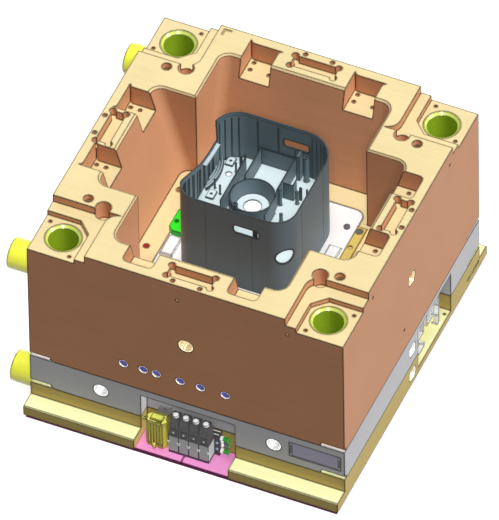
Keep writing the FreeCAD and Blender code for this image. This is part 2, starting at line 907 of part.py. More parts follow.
def cut_water_ports(body):
    ports = [S.port_x_1, S.port_x_2, S.port_x_3, S.port_x_4, S.port_x_5, S.port_x_6]
    up = Z_CAVITY + S.port_up
    counterbores = [Ring(x, up, S.port_r) for x in ports]
    prism(body, "port_counterbores", "XZ_Plane", -HALF_Y, S.port_deep - HALF_Y, counterbores, cut=True)
    drills = [Ring(x, up, S.port_drill_r) for x in ports]
    bottom = S.port_drill_deep - HALF_Y
    prism(body, "port_drills", "XZ_Plane", S.port_deep - HALF_Y, bottom, drills, cut=True)


def cavity_plate():
    body = plate("cavity_plate", Z_CAVITY, Z_TOP)
    cut_corner_steps(body)
    cut_cross(body)
    cut_guide_bores(body)
    cut_wedge_pockets(body)
    cut_dog_bones(body)
    cut_parting_holes(body)
    cut_water_ports(body)
    cut_small_holes(body)
    cut_datum_mark(body)
    well = rectangle(-S.insert_half, S.insert_half, -S.insert_half, S.insert_half, S.insert_round)
    prism(body, "insert_well", "XY_Plane", Z_FLOOR, Z_INSERT, [well], cut=True)
    bores = [Ring(x, y, S.nozzle_r + S.nozzle_air) for x, y in nozzle_spots()]
    prism(body, "nozzle_bores", "XY_Plane", Z_CAVITY, Z_INSERT, bores, cut=True)
    heads = [Ring(x, y, S.nozzle_head_r) for x, y in nozzle_spots()]
    prism(body, "nozzle_seats", "XY_Plane", Z_CAVITY, Z_CAVITY + S.nozzle_seat, heads, cut=True)
    ties = [Ring(x, y, S.tie_r) for x, y in tie_spots()]
    prism(body, "tie_threads", "XY_Plane", Z_CAVITY, Z_CAVITY + S.tie_grip, ties, cut=True)
    plugs = [Ring(S.plug_x, S.plug_y * side, S.plug_r) for side in (-1, 1)]
    prism(body, "floor_plug_holes", "XY_Plane", Z_FLOOR, Z_FLOOR - S.plug_deep, plugs, cut=True)
    up = Z_CAVITY + S.cavity_lift_up
    lift_hole(body, "lift_front", "XZ_Plane", -HALF_Y, 1, 0, up)
    lift_hole(body, "lift_back", "XZ_Plane", HALF_Y, -1, 0, up)
    lift_hole(body, "lift_right", "YZ_Plane", HALF_X, -1, 0, up)
    lift_hole(body, "lift_left", "YZ_Plane", -HALF_X, 1, 0, up)
    pry_slots(body, "cavity_pry", Z_CAVITY)
    return body


def front_bay(body, name, low, high):
    """Cut the valve island's bay from the front face of a plate."""
    outer = -HALF_Y - S.ledge_reach - BEYOND
    loop = rectangle(-S.bay_left, S.bay_right, outer, S.bay_deep - HALF_Y)
    prism(body, name, "XY_Plane", low, high, [loop], cut=True)


def connector_bay(body, name, low, high):
    """Cut the connectors' bay from the right face of a plate."""
    loop = rectangle(HALF_X - S.port_bay_deep, HALF_X + BEYOND, S.port_bay_front, S.port_bay_back)
    prism(body, name, "XY_Plane", low, high, [loop], cut=True)


def chamber():
    """The loop of the hot runner's chamber."""
    left = S.housing_x - S.chamber_half_x
    right = S.housing_x + S.chamber_half_x
    front = S.housing_y - S.chamber_half_y
    back = S.housing_y + S.chamber_half_y
    return rectangle(left, right, front, back, S.chamber_round)


def frame_plate():
    body = plate("manifold_plate", Z_FRAME, Z_CAVITY)
    prism(body, "hot_chamber", "XY_Plane", Z_FRAME, Z_CAVITY, [chamber()], cut=True)
    front_bay(body, "frame_front_bay", Z_FRAME, Z_FRAME + S.bay_up)
    connector_bay(body, "frame_connector_bay", Z_FRAME, Z_FRAME + S.port_bay_up)
    ties = [Ring(x, y, S.tie_r + S.tie_air) for x, y in tie_spots()]
    prism(body, "frame_tie_holes", "XY_Plane", Z_FRAME, Z_CAVITY, ties, cut=True)
    up = Z_FRAME + S.frame_lift_up
    lift_hole(body, "frame_lift_left", "XZ_Plane", -HALF_Y, 1, -S.frame_lift_x, up)
    lift_hole(body, "frame_lift_right", "XZ_Plane", -HALF_Y, 1, S.frame_lift_x, up)
    lift_hole(body, "frame_lift_side", "YZ_Plane", HALF_X, -1, 0, up)
    name_low = Z_FRAME + S.name_up
    window = rectangle(S.name_left, S.name_right, name_low, name_low + S.name_high)
    prism(body, "name_recess", "XZ_Plane", -HALF_Y, S.name_deep - HALF_Y, [window], cut=True)
    pry_slots(body, "frame_pry", Z_FRAME)
    return body


def clamp_plate():
    """The plate that the machine clamps, with a ledge along the front and the back."""
    body = plate("clamp_plate", Z_CLAMP, Z_FRAME)
    reach = HALF_Y + S.ledge_reach
    prism(body, "ledges", "XY_Plane", Z_CLAMP, Z_LEDGE, [rectangle(-HALF_X, HALF_X, -reach, reach)])
    bevel(
        body, "ledge_bevel", S.ledge_bevel,
        lambda e: lies_at(e, Z_LEDGE) and abs(abs(e.BoundBox.Center.y) - reach.number) < 1e-4,
    )
    front_bay(body, "clamp_front_bay", Z_CLAMP, Z_FRAME)
    connector_bay(body, "clamp_connector_bay", Z_CLAMP + S.port_bay_floor, Z_FRAME)
    prism(body, "ring_seat", "XY_Plane", Z_CLAMP, Z_CLAMP + S.ring_set, [Ring(0, 0, S.ring_r)], cut=True)
    z_flange = Z_CLAMP + S.ring_set
    flange = [Ring(0, 0, S.sprue_flange_r)]
    prism(body, "sprue_seat", "XY_Plane", z_flange, z_flange + S.sprue_flange_thick, flange, cut=True)
    prism(body, "sprue_bore", "XY_Plane", Z_CLAMP, Z_FRAME, [Ring(0, 0, S.sprue_r)], cut=True)
    wells = [Ring(x, y, S.piston_r + S.cylinder_wall) for x, y in nozzle_spots()]
    prism(body, "cylinder_wells", "XY_Plane", Z_FRAME, Z_FRAME - S.cylinder_set, wells, cut=True)
    ties = [Ring(x, y, S.tie_r + S.tie_air) for x, y in tie_spots()]
    prism(body, "clamp_tie_holes", "XY_Plane", Z_CLAMP, Z_FRAME, ties, cut=True)
    heads = [Ring(x, y, S.tie_head_r + S.tie_air) for x, y in tie_spots()]
    prism(body, "clamp_tie_heads", "XY_Plane", Z_CLAMP, Z_CLAMP + S.tie_head_high, heads, cut=True)
    lift_hole(body, "clamp_lift_side", "YZ_Plane", HALF_X, -1, 0, Z_CLAMP + S.clamp_lift_up)
    slot_low = Z_CLAMP + S.slot_up
    slot = rectangle(S.slot_front, S.slot_back, slot_low, slot_low + S.slot_high)
    prism(body, "strap_slot", "YZ_Plane", HALF_X, HALF_X - S.slot_deep, [slot], cut=True)
    bay_floor = Z_CLAMP + S.port_bay_floor
    tap = Ring(S.bay_tap_x, S.bay_tap_y, S.bay_tap_r)
    prism(body, "bay_tap", "XY_Plane", bay_floor, bay_floor - S.tap_deep, [tap], cut=True)
    return body


def insulation_board(name, side):
    """One half of the board, which ends at the mould's centre line."""
    body = new_body(name)
    near = S.board_joint / 2 * side
    far = (HALF_X - S.board_inset) * side
    reach = HALF_Y + S.ledge_reach - S.board_inset
    prism(body, name + "_sheet", "XY_Plane", 0, S.board_thick, [rectangle(near, far, -reach, reach)])
    prism(body, name + "_ring_hole", "XY_Plane", 0, S.board_thick, [Ring(0, 0, S.ring_r)], cut=True)
    ties = [Ring(S.tie_x * side, S.tie_y * sy, S.tie_head_r + S.tie_air) for sy in (-1, 1)]
    prism(body, name + "_screw_holes", "XY_Plane", 0, S.board_thick, ties, cut=True)


def guide_bushes():
    z_seat = Z_TOP - S.seat_drop
    for count, (sx, sy) in enumerate(CORNERS, start=1):
        name = f"guide_bush_{count}"
        body = new_body(name)
        turned(body, name + "_sleeve", [
            (S.bush_bore_r, -S.bush_long), (S.bush_r, -S.bush_long), (S.bush_r, 0),
            (S.bush_bore_r + S.bush_lip, 0), (S.bush_bore_r, -S.bush_lip),
        ])
        place(body, GUIDE_X * sx, GUIDE_Y * sy, z_seat)


def foot_pillars():
    """Pillars on the left face that carry the mould when it lies on its side."""
    spots = [(-S.pillar_y, S.pillar_low), (S.pillar_y, S.pillar_low),
             (-S.pillar_y, S.pillar_high), (S.pillar_y, S.pillar_high)]
    for count, (along, up) in enumerate(spots, start=1):
        name = f"foot_pillar_{count}"
        body = new_body(name)
        rim = S.pillar_r - S.pillar_bevel
        turned(body, name + "_post", [
            (0, 0), (S.pillar_r, 0), (S.pillar_r, S.pillar_long - S.pillar_bevel),
            (rim, S.pillar_long), (0, S.pillar_long),
        ])
        place(body, -HALF_X, along, up, Rotation(Vector(0, 1, 0), -90))


def housing_outline(inset):
    """The housing's outline, or one that lies inside it by an inset."""
    inset = as_size(inset)
    left = S.housing_x - S.housing_width / 2 + inset
    right = S.housing_x + S.housing_width / 2 - inset
    front = S.housing_y - S.housing_depth / 2 + inset
    back = S.housing_y + S.housing_depth / 2 - inset
    return Outline([
        (left, front, S.round_front - inset), (right, front, S.round_front - inset),
        (right, back, S.round_back_right - inset), (left, back, S.round_back_left - inset),
    ])


def cavity_insert():
    """The insert in the floor of the pocket, with the core that fills the underside of the moulding."""
    body = new_body("cavity_insert")
    half = S.insert_half - S.insert_gap
    block = rectangle(-half, half, -half, half, S.insert_round - S.insert_gap)
    prism(body, "insert_block", "XY_Plane", Z_INSERT, Z_FLOOR, [block])
    core = housing_outline(S.housing_wall + S.core_gap)
    prism(body, "core_block", "XY_Plane", Z_FLOOR, Z_CORE, [core])
    z_tip = Z_CORE - S.nozzle_tip_long
    bores = [Ring(x, y, S.nozzle_r + S.nozzle_air) for x, y in nozzle_spots()]
    prism(body, "insert_nozzle_bores", "XY_Plane", Z_INSERT, z_tip, bores, cut=True)
    gates = [Ring(x, y, S.nozzle_tip_r) for x, y in nozzle_spots()]
    prism(body, "insert_gates", "XY_Plane", z_tip, Z_CORE, gates, cut=True)


def moulded_housing():
    """The moulding: a deep shell with an inner floor, a cup, a box and its openings."""
    body = new_body("moulded_housing")
    prism(body, "housing_wall_outer", "XY_Plane", Z_FLOOR, Z_RIM, [housing_outline(0)])
    inner = [housing_outline(S.housing_wall)]
    prism(body, "housing_upper_room", "XY_Plane", Z_RIM, Z_INNER_FLOOR, inner, cut=True)
    inner = [housing_outline(S.housing_wall)]
    prism(body, "housing_skirt", "XY_Plane", Z_FLOOR, Z_CORE, inner, cut=True)
    housing_box(body)
    housing_cup(body)
    housing_floor_details(body)
    housing_openings(body)


def housing_box(body):
    """An open-topped box of three walls against the back wall, from the cup backwards."""
    back = S.housing_y + S.housing_depth / 2 - S.housing_wall
    high = Z_INNER_FLOOR + S.box_high
    outer = rectangle(S.box_left - S.box_wall, S.box_right + S.box_wall, S.cup_y, back + S.housing_wall / 2)
    prism(body, "box_walls", "XY_Plane", Z_INNER_FLOOR, high, [outer])
    inner = rectangle(S.box_left, S.box_right, S.cup_y, back - S.box_wall)
    prism(body, "box_room", "XY_Plane", high, Z_INNER_FLOOR, [inner], cut=True)


def housing_cup(body):
    """A cup with a tapering inside round the centre hole."""
    high = Z_INNER_FLOOR + S.cup_high
    ring = Ring(S.cup_x, S.cup_y, S.cup_r)
    prism(body, "cup_wall", "XY_Plane", Z_INNER_FLOOR, high, [ring])
    above = Z_INNER_FLOOR + S.box_high + BEYOND
    prism(body, "cup_clearance", "XY_Plane", above, high, [Ring(S.cup_x, S.cup_y, S.cup_r)], cut=True)
    mouth = Drawing(body, "cup_mouth", "XY_Plane", high)
    Ring(S.cup_x, S.cup_y, S.cup_r - S.housing_wall).draw(mouth)
    foot = Drawing(body, "cup_foot", "XY_Plane", Z_INNER_FLOOR)
    Ring(S.cup_x, S.cup_y, S.cup_foot_r).draw(foot)
    taper = body.newObject("PartDesign::SubtractiveLoft", "cup_taper")
    taper.Profile = mouth.sketch
    taper.Sections = [foot.sketch]
    taper.Ruled = True
    hole = Ring(S.cup_x, S.cup_y, S.cup_hole_r)
    prism(body, "cup_hole", "XY_Plane", Z_INNER_FLOOR, Z_CORE, [hole], cut=True)


def housing_rails(body):
    """Three rails round the cup: a high one on each side and a low one in front."""
    half = S.rail_thick / 2
    front = S.rail_front_y - half
    left = S.rail_left_x - half
    right = S.rail_right_x + half
    rail = rectangle(left, S.rail_left_x + half, front, S.rail_left_back)
    prism(body, "left_rail", "XY_Plane", Z_INNER_FLOOR, Z_INNER_FLOOR + S.rail_left_high, [rail])
    rail = rectangle(S.rail_right_x - half, right, front, S.cup_y)
    prism(body, "right_rail", "XY_Plane", Z_INNER_FLOOR, Z_INNER_FLOOR + S.rail_right_high, [rail])
    rail = rectangle(left, right, front, front + S.rail_thick)
    prism(body, "front_rail", "XY_Plane", Z_INNER_FLOOR, Z_INNER_FLOOR + S.rail_front_high, [rail])


def housing_floor_details(body):
    """The rails, pads, studs and bosses that stand on the inner floor, and the hole through it."""
    housing_rails(body)
    pads = []
    blind = []
    for y in (S.pad_near_y, S.pad_far_y):
        half_wide = S.pad_wide / 2
        half_long = S.pad_long / 2
        pads.append(rectangle(S.pad_x - half_wide, S.pad_x + half_wide, y - half_long, y + half_long))
        blind.append(Ring(S.pad_x, y, S.pad_hole_r))
    pad_top = Z_INNER_FLOOR + S.pad_high
    prism(body, "pads", "XY_Plane", Z_INNER_FLOOR, pad_top, pads)
    prism(body, "pad_holes", "XY_Plane", pad_top, Z_INNER_FLOOR, blind, cut=True)
    studs = [
        Ring(S.stud_x_1, S.stud_y_1, S.stud_r), Ring(S.stud_x_2, S.stud_y_2, S.stud_r),
        Ring(S.stud_x_3, S.stud_y_3, S.stud_r),
    ]
    nook = Outline([
        (S.nook_left, S.nook_front), (S.nook_right, S.nook_front), (S.nook_right, S.nook_back),
        (S.nook_right - S.nook_thick, S.nook_back),
        (S.nook_right - S.nook_thick, S.nook_front + S.nook_thick),
        (S.nook_left, S.nook_front + S.nook_thick),
    ])
    back = S.housing_y + S.housing_depth / 2 - S.housing_wall / 2
    standing = [
        ("studs", S.stud_high, studs),
        ("low_boss", S.low_boss_high, [Ring(S.low_boss_x, S.low_boss_y, S.boss_r)]),
        ("high_boss", S.high_boss_high, [Ring(S.high_boss_x, S.high_boss_y, S.boss_r)]),
        ("wall_boss", S.wall_boss_high, [Ring(S.wall_boss_x, S.wall_boss_y, S.boss_r)]),
        ("tower", S.tower_high, [
            Ring(S.tower_x, S.tower_y, S.tower_r), Ring(S.tower_x, S.tower_y, S.tower_hole_r),
        ]),
        ("spine", S.spine_high, [rectangle(S.spine_left, S.spine_right, S.spine_front, back)]),
        ("nook", S.nook_high, [nook]),
    ]
    for name, high, loops in standing:
        prism(body, name, "XY_Plane", Z_INNER_FLOOR, Z_INNER_FLOOR + high, loops)
    lug_top = Z_INNER_FLOOR + S.lug_high
    prism(body, "lug", "XY_Plane", Z_INNER_FLOOR, lug_top, [Ring(S.lug_x, S.lug_y, S.lug_r)])
    hole = Ring(S.lug_x, S.lug_y, S.lug_hole_r)
    prism(body, "lug_hole", "XY_Plane", lug_top, Z_INNER_FLOOR, [hole], cut=True)
    drain = Ring(S.drain_x, S.drain_y, S.drain_r)
    prism(body, "drain", "XY_Plane", Z_INNER_FLOOR, Z_CORE, [drain], cut=True)


def housing_openings(body):
    """Slots in the front and back walls, the round hole in the corner and the dip in the left wall."""
    front = S.housing_y - S.housing_depth / 2
    back = S.housing_y + S.housing_depth / 2
    top = Z_RIM - S.vent_drop
    slot = rectangle(S.vent_left, S.vent_right, top - S.vent_high, top, S.vent_round)
    prism(body, "wall_slots", "XZ_Plane", front - BEYOND, back + BEYOND, [slot], cut=True)
    hole = body.newObject("PartDesign::SubtractiveCylinder", "corner_round_hole")
    hole.Radius = S.round_hole_r.number
    hole.setExpression("Radius", S.round_hole_r.text)
    hole.Height = S.round_hole_long.number
    hole.setExpression("Height", S.round_hole_long.text)
    away = math.cos(math.pi / 4)
    start = S.round_hole_long / 2 * away
    corner_x = S.housing_x + S.housing_width / 2 - S.round_front * (1 - away)
    corner_y = front + S.round_front * (1 - away)
    outward = Rotation(Vector(0, 0, 1), Vector(1, -1, 0))
    place(hole, corner_x - start, corner_y + start, Z_RIM - S.round_hole_drop, outward)
    left = S.housing_x - S.housing_width / 2
    dip = Outline([
        (S.dip_front, Z_RIM + BEYOND), (S.dip_front, Z_RIM), (S.dip_knee, Z_RIM - S.dip_knee_drop),
        (S.dip_low, Z_RIM - S.dip_drop), (S.dip_back, Z_RIM - S.dip_drop), (S.dip_end, Z_RIM),
        (S.dip_end, Z_RIM + BEYOND),
    ])
    prism(body, "left_dip", "YZ_Plane", left - BEYOND, left + S.dip_inside, [dip], cut=True)


def side_lock():
    """The green lock against the left of the moulding."""
    right = S.housing_x - S.housing_width / 2 - S.side_lock_gap
    left = right - S.side_lock_wide
    front = -S.side_lock_front
    body = new_body("side_lock")
    top = Z_FLOOR + S.side_lock_high
    prism(body, "side_lock_block", "XY_Plane", Z_FLOOR, top, [Outline([
        (left + S.side_lock_bevel, front), (right, front), (right, S.side_lock_back),
        (left, S.side_lock_back), (left, front + S.side_lock_bevel),
    ])])
    hole = Ring(left + S.side_lock_bevel, front / 4, S.side_lock_hole_r)
    prism(body, "side_lock_hole", "XY_Plane", Z_FLOOR, top, [hole], cut=True)


def floor_pieces():
    """The interlock blocks, the wear strip, the pin and the plug on the pocket's floor."""
    near = S.housing_width / 2 + S.interlock_gap
    far = near + S.interlock_wide
    interlocks = []
    for name, side, back in (("interlock_left", -1, S.interlock_left_back),
                             ("interlock_right", 1, S.interlock_right_back)):
        body = new_body(name)
        interlocks.append(body)
        loop = rectangle(near * side, far * side, back - S.interlock_long, back)
        top = Z_FLOOR + S.interlock_high
        prism(body, name + "_block", "XY_Plane", Z_FLOOR, top, [loop])
        bevel(body, name + "_bevel", S.interlock_bevel, lambda e: lies_at(e, top))
    group("interlock_blocks", interlocks)
    strip = new_body("wear_strip")
    top = Z_FLOOR + S.strip_high
    strip_left = far + S.strip_gap
    bar = rectangle(strip_left, strip_left + S.strip_wide, S.strip_front, S.strip_back)
    prism(strip, "strip_bar", "XY_Plane", Z_FLOOR, top, [bar])
    screw_x = strip_left + S.strip_screw_in
    tap = Ring(screw_x, S.strip_tap_y, S.side_lock_hole_r)
    prism(strip, "strip_tap", "XY_Plane", Z_FLOOR, top, [tap], cut=True)
    screw_seat = Ring(screw_x, S.strip_screw_y, S.pin_r)
    prism(strip, "strip_screw_seat", "XY_Plane", Z_FLOOR, top, [screw_seat], cut=True)
    screw = new_body("strip_screw")
    prism(screw, "strip_screw_head", "XY_Plane", Z_FLOOR, top, [Ring(screw_x, S.strip_screw_y, S.pin_r)])
    pin = new_body("insert_pin")
    pin_spot = Ring(S.housing_width / 2 + S.pin_gap, S.pin_y, S.pin_r)
    prism(pin, "insert_pin_head", "XY_Plane", Z_FLOOR, Z_FLOOR + S.pin_high, [pin_spot])
    plug = new_body("floor_plug")
    spot = Ring(S.plug_x, -S.plug_y, S.plug_r)
    prism(plug, "floor_plug_body", "XY_Plane", Z_FLOOR - S.plug_deep, Z_FLOOR, [spot])
    group("floor_screws", [screw, pin, plug])


def water_nipples():
    """Blue nipples that stand in the water ports."""
    ports = [S.port_x_1, S.port_x_2, S.port_x_3, S.port_x_4, S.port_x_5, S.port_x_6]
    pieces = []
    for count, x in enumerate(ports, start=1):
        nipple = DOC.addObject("Part::Cylinder", f"nipple_{count}")
        nipple.Radius = S.port_drill_r.number
        nipple.setExpression("Radius", S.port_drill_r.text)
        length = S.port_deep * 2 - S.nipple_set
        nipple.Height = length.number
        nipple.setExpression("Height", length.text)
        place(nipple, x, S.port_deep * 2 - HALF_Y, Z_CAVITY + S.port_up, Rotation(Vector(1, 0, 0), 90))
        pieces.append(nipple)
    group("water_nipples", pieces)


def name_plate():
    body = new_body("name_plate")
    low = Z_FRAME + S.name_up
    loop = rectangle(S.name_left, S.name_right, low, low + S.name_high)
    start = S.name_deep - HALF_Y
    prism(body, "name_sheet", "XZ_Plane", start, start - S.name_thick, [loop])


def tie_screws():
    """Screws that draw the three plates together from the machine side."""
    screws = []
    for count, (x, y) in enumerate(tie_spots(), start=1):
        name = f"tie_screw_{count}"
        body = new_body(name)
        grip = S.clamp_thick + S.frame_thick + S.tie_grip
        turned(body, name + "_screw", [
            (0, 0), (S.tie_head_r, 0), (S.tie_head_r, S.tie_head_high), (S.tie_r, S.tie_head_high),
            (S.tie_r, grip), (0, grip),
        ])
        place(body, x, y, Z_CLAMP)
        screws.append(body)
    group("tie_screws", screws)


def hot_runner_block():
    """The heated block: a bar across the middle that joins an arm under each pair of nozzles."""
    body = new_body("hot_runner_block")
    half_x = S.nozzle_pitch_x / 2
    half_arm = S.hot_arm / 2
    half_bar = S.hot_bar / 2
    reach = S.nozzle_pitch_y / 2 + half_arm
    cx = S.housing_x
    cy = S.housing_y
    outer = half_x + half_arm
    inner = half_x - half_arm
    loop = Outline([
        (cx - outer, cy - reach), (cx - inner, cy - reach), (cx - inner, cy - half_bar),
        (cx + inner, cy - half_bar), (cx + inner, cy - reach), (cx + outer, cy - reach),
        (cx + outer, cy + reach), (cx + inner, cy + reach), (cx + inner, cy + half_bar),
        (cx - inner, cy + half_bar), (cx - inner, cy + reach), (cx - outer, cy + reach),
    ])
    prism(body, "hot_block", "XY_Plane", Z_HOT, Z_HOT_TOP, [loop])
    bores = [Ring(x, y, S.pin_shank_r + S.pin_air) for x, y in nozzle_spots()]
    prism(body, "hot_pin_bores", "XY_Plane", Z_HOT, Z_HOT_TOP, bores, cut=True)
    sprue = [Ring(0, 0, S.sprue_bore_r)]
    prism(body, "hot_inlet", "XY_Plane", Z_HOT, Z_HOT + S.hot_thick / 2, sprue, cut=True)


def hot_nozzles():
    head_high = Z_CAVITY + S.nozzle_seat - Z_HOT_TOP
    z_tip = Z_CORE - S.nozzle_tip_long - Z_HOT_TOP
    long = Z_CORE - Z_HOT_TOP
    shank = S.nozzle_tip_r - S.insert_gap
    bore = S.pin_shank_r + S.pin_air
    for count, (x, y) in enumerate(nozzle_spots(), start=1):
        name = f"hot_nozzle_{count}"
        body = new_body(name)
        turned(body, name + "_barrel", [
            (bore, 0), (S.nozzle_head_r, 0), (S.nozzle_head_r, head_high), (S.nozzle_r, head_high),
            (S.nozzle_r, z_tip - S.nozzle_tip_r), (shank, z_tip), (shank, long), (bore, long),
        ])
        place(body, x, y, Z_HOT_TOP)


def valve_cylinders():
    """A cylinder under each nozzle, and the piston with its pin that opens and shuts the gate."""
    outer = S.piston_r + S.cylinder_wall
    bore = S.piston_r + S.piston_air
    high = S.cylinder_set + S.hot_low
    roof = high - S.cylinder_lid
    rod = S.pin_shank_r + S.pin_air
    rest = roof - S.piston_thick - S.piston_air
    tip = Z_CORE - (Z_FRAME - S.cylinder_set)
    for count, (x, y) in enumerate(nozzle_spots(), start=1):
        name = f"valve_cylinder_{count}"
        body = new_body(name)
        turned(body, name + "_wall", [
            (0, 0), (outer, 0), (outer, high), (rod, high), (rod, roof), (bore, roof),
            (bore, S.cylinder_base), (0, S.cylinder_base),
        ])
        place(body, x, y, Z_FRAME - S.cylinder_set)
        name = f"valve_pin_{count}"
        body = new_body(name)
        turned(body, name + "_piston", [
            (0, rest), (S.piston_r, rest), (S.piston_r, rest + S.piston_thick),
            (S.pin_shank_r, rest + S.piston_thick), (S.pin_shank_r, tip), (0, tip),
        ])
        place(body, x, y, Z_FRAME - S.cylinder_set)


def nozzle_entry():
    """The locating ring on the machine axis and the sprue bush behind it."""
    ring = new_body("locating_ring")
    high = S.board_thick + S.ring_set
    turned(ring, "locating_ring_body", [
        (S.ring_bore_r, 0), (S.ring_r, 0), (S.ring_r, high), (S.ring_bore_r, high),
    ])
    sprue = new_body("sprue_bush")
    top = Z_HOT - high
    turned(sprue, "sprue_bush_body", [
        (S.sprue_cup_r, 0), (S.sprue_flange_r, 0), (S.sprue_flange_r, S.sprue_flange_thick),
        (S.sprue_r, S.sprue_flange_thick), (S.sprue_r, top), (S.sprue_bore_r, top),
        (S.sprue_bore_r, S.sprue_flange_thick / 2),
    ])
    place(sprue, 0, 0, high)


def valve_island():
    """Four solenoid valves side by side on one base, with their caps and hand buttons."""
    right = S.valve_left + S.valve_pitch * 4
    base = new_body("valve_base")
    z_base = Z_CLAMP + S.valve_base_high
    footprint = rectangle(S.valve_left, right, S.valve_front, S.valve_back)
    prism(base, "valve_base_bar", "XY_Plane", Z_CLAMP, z_base, [footprint])
    z_cap = z_base + S.valve_body_high
    z_top = z_cap + S.valve_cap_high
    gap = S.valve_joint / 2
    middle_y = (S.valve_front + S.valve_back) / 2
    for count in range(4):
        left = S.valve_left + S.valve_pitch * count
        middle = left + S.valve_pitch / 2
        name = f"solenoid_valve_{count + 1}"
        valve = new_body(name)
        block = rectangle(left + gap, left + S.valve_pitch - gap, S.valve_front, S.valve_back)
        prism(valve, name + "_block", "XY_Plane", z_base, z_cap, [block])
        name = f"coil_cap_{count + 1}"
        cap = new_body(name)
        foot = Drawing(cap, name + "_foot", "XY_Plane", z_cap)
        rectangle(left + gap, left + S.valve_pitch - gap, S.valve_front, S.valve_back).draw(foot)
        head = Drawing(cap, name + "_head", "XY_Plane", z_top)
        rectangle(
            left + gap + S.valve_cap_taper / 2, left + S.valve_pitch - gap - S.valve_cap_taper / 2,
            S.valve_front + S.valve_cap_taper, S.valve_back - S.valve_cap_taper / 2,
        ).draw(head)
        loft = cap.newObject("PartDesign::AdditiveLoft", name + "_shell")
        loft.Profile = foot.sketch
        loft.Sections = [head.sketch]
        loft.Ruled = True
        well_deep = S.button_in + S.button_travel + S.button_air
        well = Ring(middle, middle_y, S.button_r + S.button_air)
        prism(cap, name + "_well", "XY_Plane", z_top, z_top - well_deep, [well], cut=True)
        name = f"override_button_{count + 1}"
        button = new_body(name)
        disc = Ring(middle, middle_y, S.button_r)
        prism(button, name + "_disc", "XY_Plane", z_top - S.button_in, z_top + S.button_out, [disc])
    air_end(right)


def air_end(left):
    """The island's end block, with four push-in fittings on its right side."""
    right = left + S.air_block_wide
    block = new_body("air_end_block")
    top = Z_CLAMP + S.air_block_high
    loop = rectangle(left, right, S.air_block_front, S.air_block_back)
    prism(block, "air_end_body", "XY_Plane", Z_CLAMP, top, [loop])
    fittings = []
    for count in range(4):
        row, level = divmod(count, 2)
        along = S.fitting_front + S.fitting_row * row
        up = Z_CLAMP + S.fitting_low + S.fitting_rise * level
        name = f"push_fitting_{count + 1}"
        fitting = new_body(name)
        turned(fitting, name + "_collar", [
            (S.fitting_bore_r, 0), (S.fitting_r, 0), (S.fitting_r, S.fitting_long),
            (S.fitting_bore_r, S.fitting_long),
        ])
        place(fitting, right, along, up, Rotation(Vector(0, 1, 0), 90))
        fittings.append(fitting)
    group("push_fittings", fittings)


def ribbed_connector():
    """The upright connector at the left of the bay: grooved sides, a head, two eyelets and a stub."""
    left = S.ribbed_left
    right = S.ribbed_right
    front = S.ribbed_front
    back = S.ribbed_back
    corner = S.ribbed_corner
    top = Z_CLAMP + S.ribbed_high
    body = new_body("ribbed_connector")
    prism(body, "ribbed_shell", "XY_Plane", Z_CLAMP, top, [Outline([
        (left + corner, front), (right - corner, front), (right, front + corner), (right, back - corner),
        (right - corner, back), (left + corner, back), (left, back - corner), (left, front + corner),
    ])])
    grooves = []
    for count in range(5):
        start = left + corner + S.groove_wide / 2 + S.groove_pitch * count
        grooves.append(rectangle(start, start + S.groove_wide, front - BEYOND, front + S.groove_deep))
    start = front + corner + S.groove_wide / 2
    grooves.append(rectangle(right - S.groove_deep, right + BEYOND, start, start + S.groove_wide))
    prism(body, "ribbed_grooves", "XY_Plane", top - S.groove_margin, Z_CLAMP + S.groove_margin, grooves,
          cut=True)
    inset = S.ribbed_head_inset
    head = rectangle(left + inset, right - inset, front + inset / 2, back - inset / 2)
    prism(body, "ribbed_head", "XY_Plane", top, top + S.ribbed_head_high, [head])
    tabs = [
        Ring(left, front + S.eyelet_in, S.eyelet_r), Ring(right, back - S.eyelet_in, S.eyelet_r),
    ]
    prism(body, "ribbed_tabs", "XY_Plane", top - S.eyelet_thick, top, tabs)
    holes = [
        Ring(left, front + S.eyelet_in, S.eyelet_hole_r), Ring(right, back - S.eyelet_in, S.eyelet_hole_r),
    ]
    prism(body, "ribbed_tab_holes", "XY_Plane", top, top - S.eyelet_thick, holes, cut=True)
    stub = Ring(S.stub_x, Z_CLAMP + S.stub_up, S.stub_r)
    prism(body, "ribbed_stub", "XZ_Plane", front, front - S.stub_long, [stub])


def cable_bracket():
    """The bracket with one hole on the bay's back wall."""
    bracket = new_body("cable_bracket")
    low = Z_CLAMP + S.bracket_up
    wall = S.bay_deep - HALF_Y
    left = S.bracket_x - S.bracket_half
    right = S.bracket_x + S.bracket_half
    loop = rectangle(left, right, low, low + S.bracket_high)
    prism(bracket, "bracket_plate", "XZ_Plane", wall, wall - S.bracket_thick, [loop])
    hole = Ring(S.bracket_x, low + S.bracket_high / 2, S.bracket_hole_r)
    prism(bracket, "bracket_hole", "XZ_Plane", wall, wall - S.bracket_thick, [hole], cut=True)


def connector_sockets():
    """Two connector sockets on the bay's back wall, each with a locking lever round its outside."""
    wall = HALF_X - S.port_bay_deep
    low = Z_CLAMP + S.port_bay_floor + S.socket_low
    high = low + S.socket_high
    for count, front in enumerate((S.socket_front_1, S.socket_front_2), start=1):
        name = f"connector_socket_{count}"
        socket = new_body(name)
        back = front + S.socket_long
        shell = rectangle(front, back, low, high)
        prism(socket, name + "_shell", "YZ_Plane", wall, wall + S.socket_deep, [shell])
        inner = rectangle(
            front + S.socket_wall, back - S.socket_wall, low + S.socket_wall, high - S.socket_wall,
        )
        pivot = Ring(wall + S.socket_deep / 2, (low + high) / 2, S.lever_pivot_r)
        reach = S.lever_thick + S.lever_air
        prism(socket, name + "_pivots", "XZ_Plane", front - reach, back + reach, [pivot])
        mouth = wall + S.socket_deep
        prism(socket, name + "_pocket", "YZ_Plane", mouth, mouth - S.socket_pocket, [inner], cut=True)
        locking_lever(count, front, back, wall + S.socket_deep / 2, (low + high) / 2)


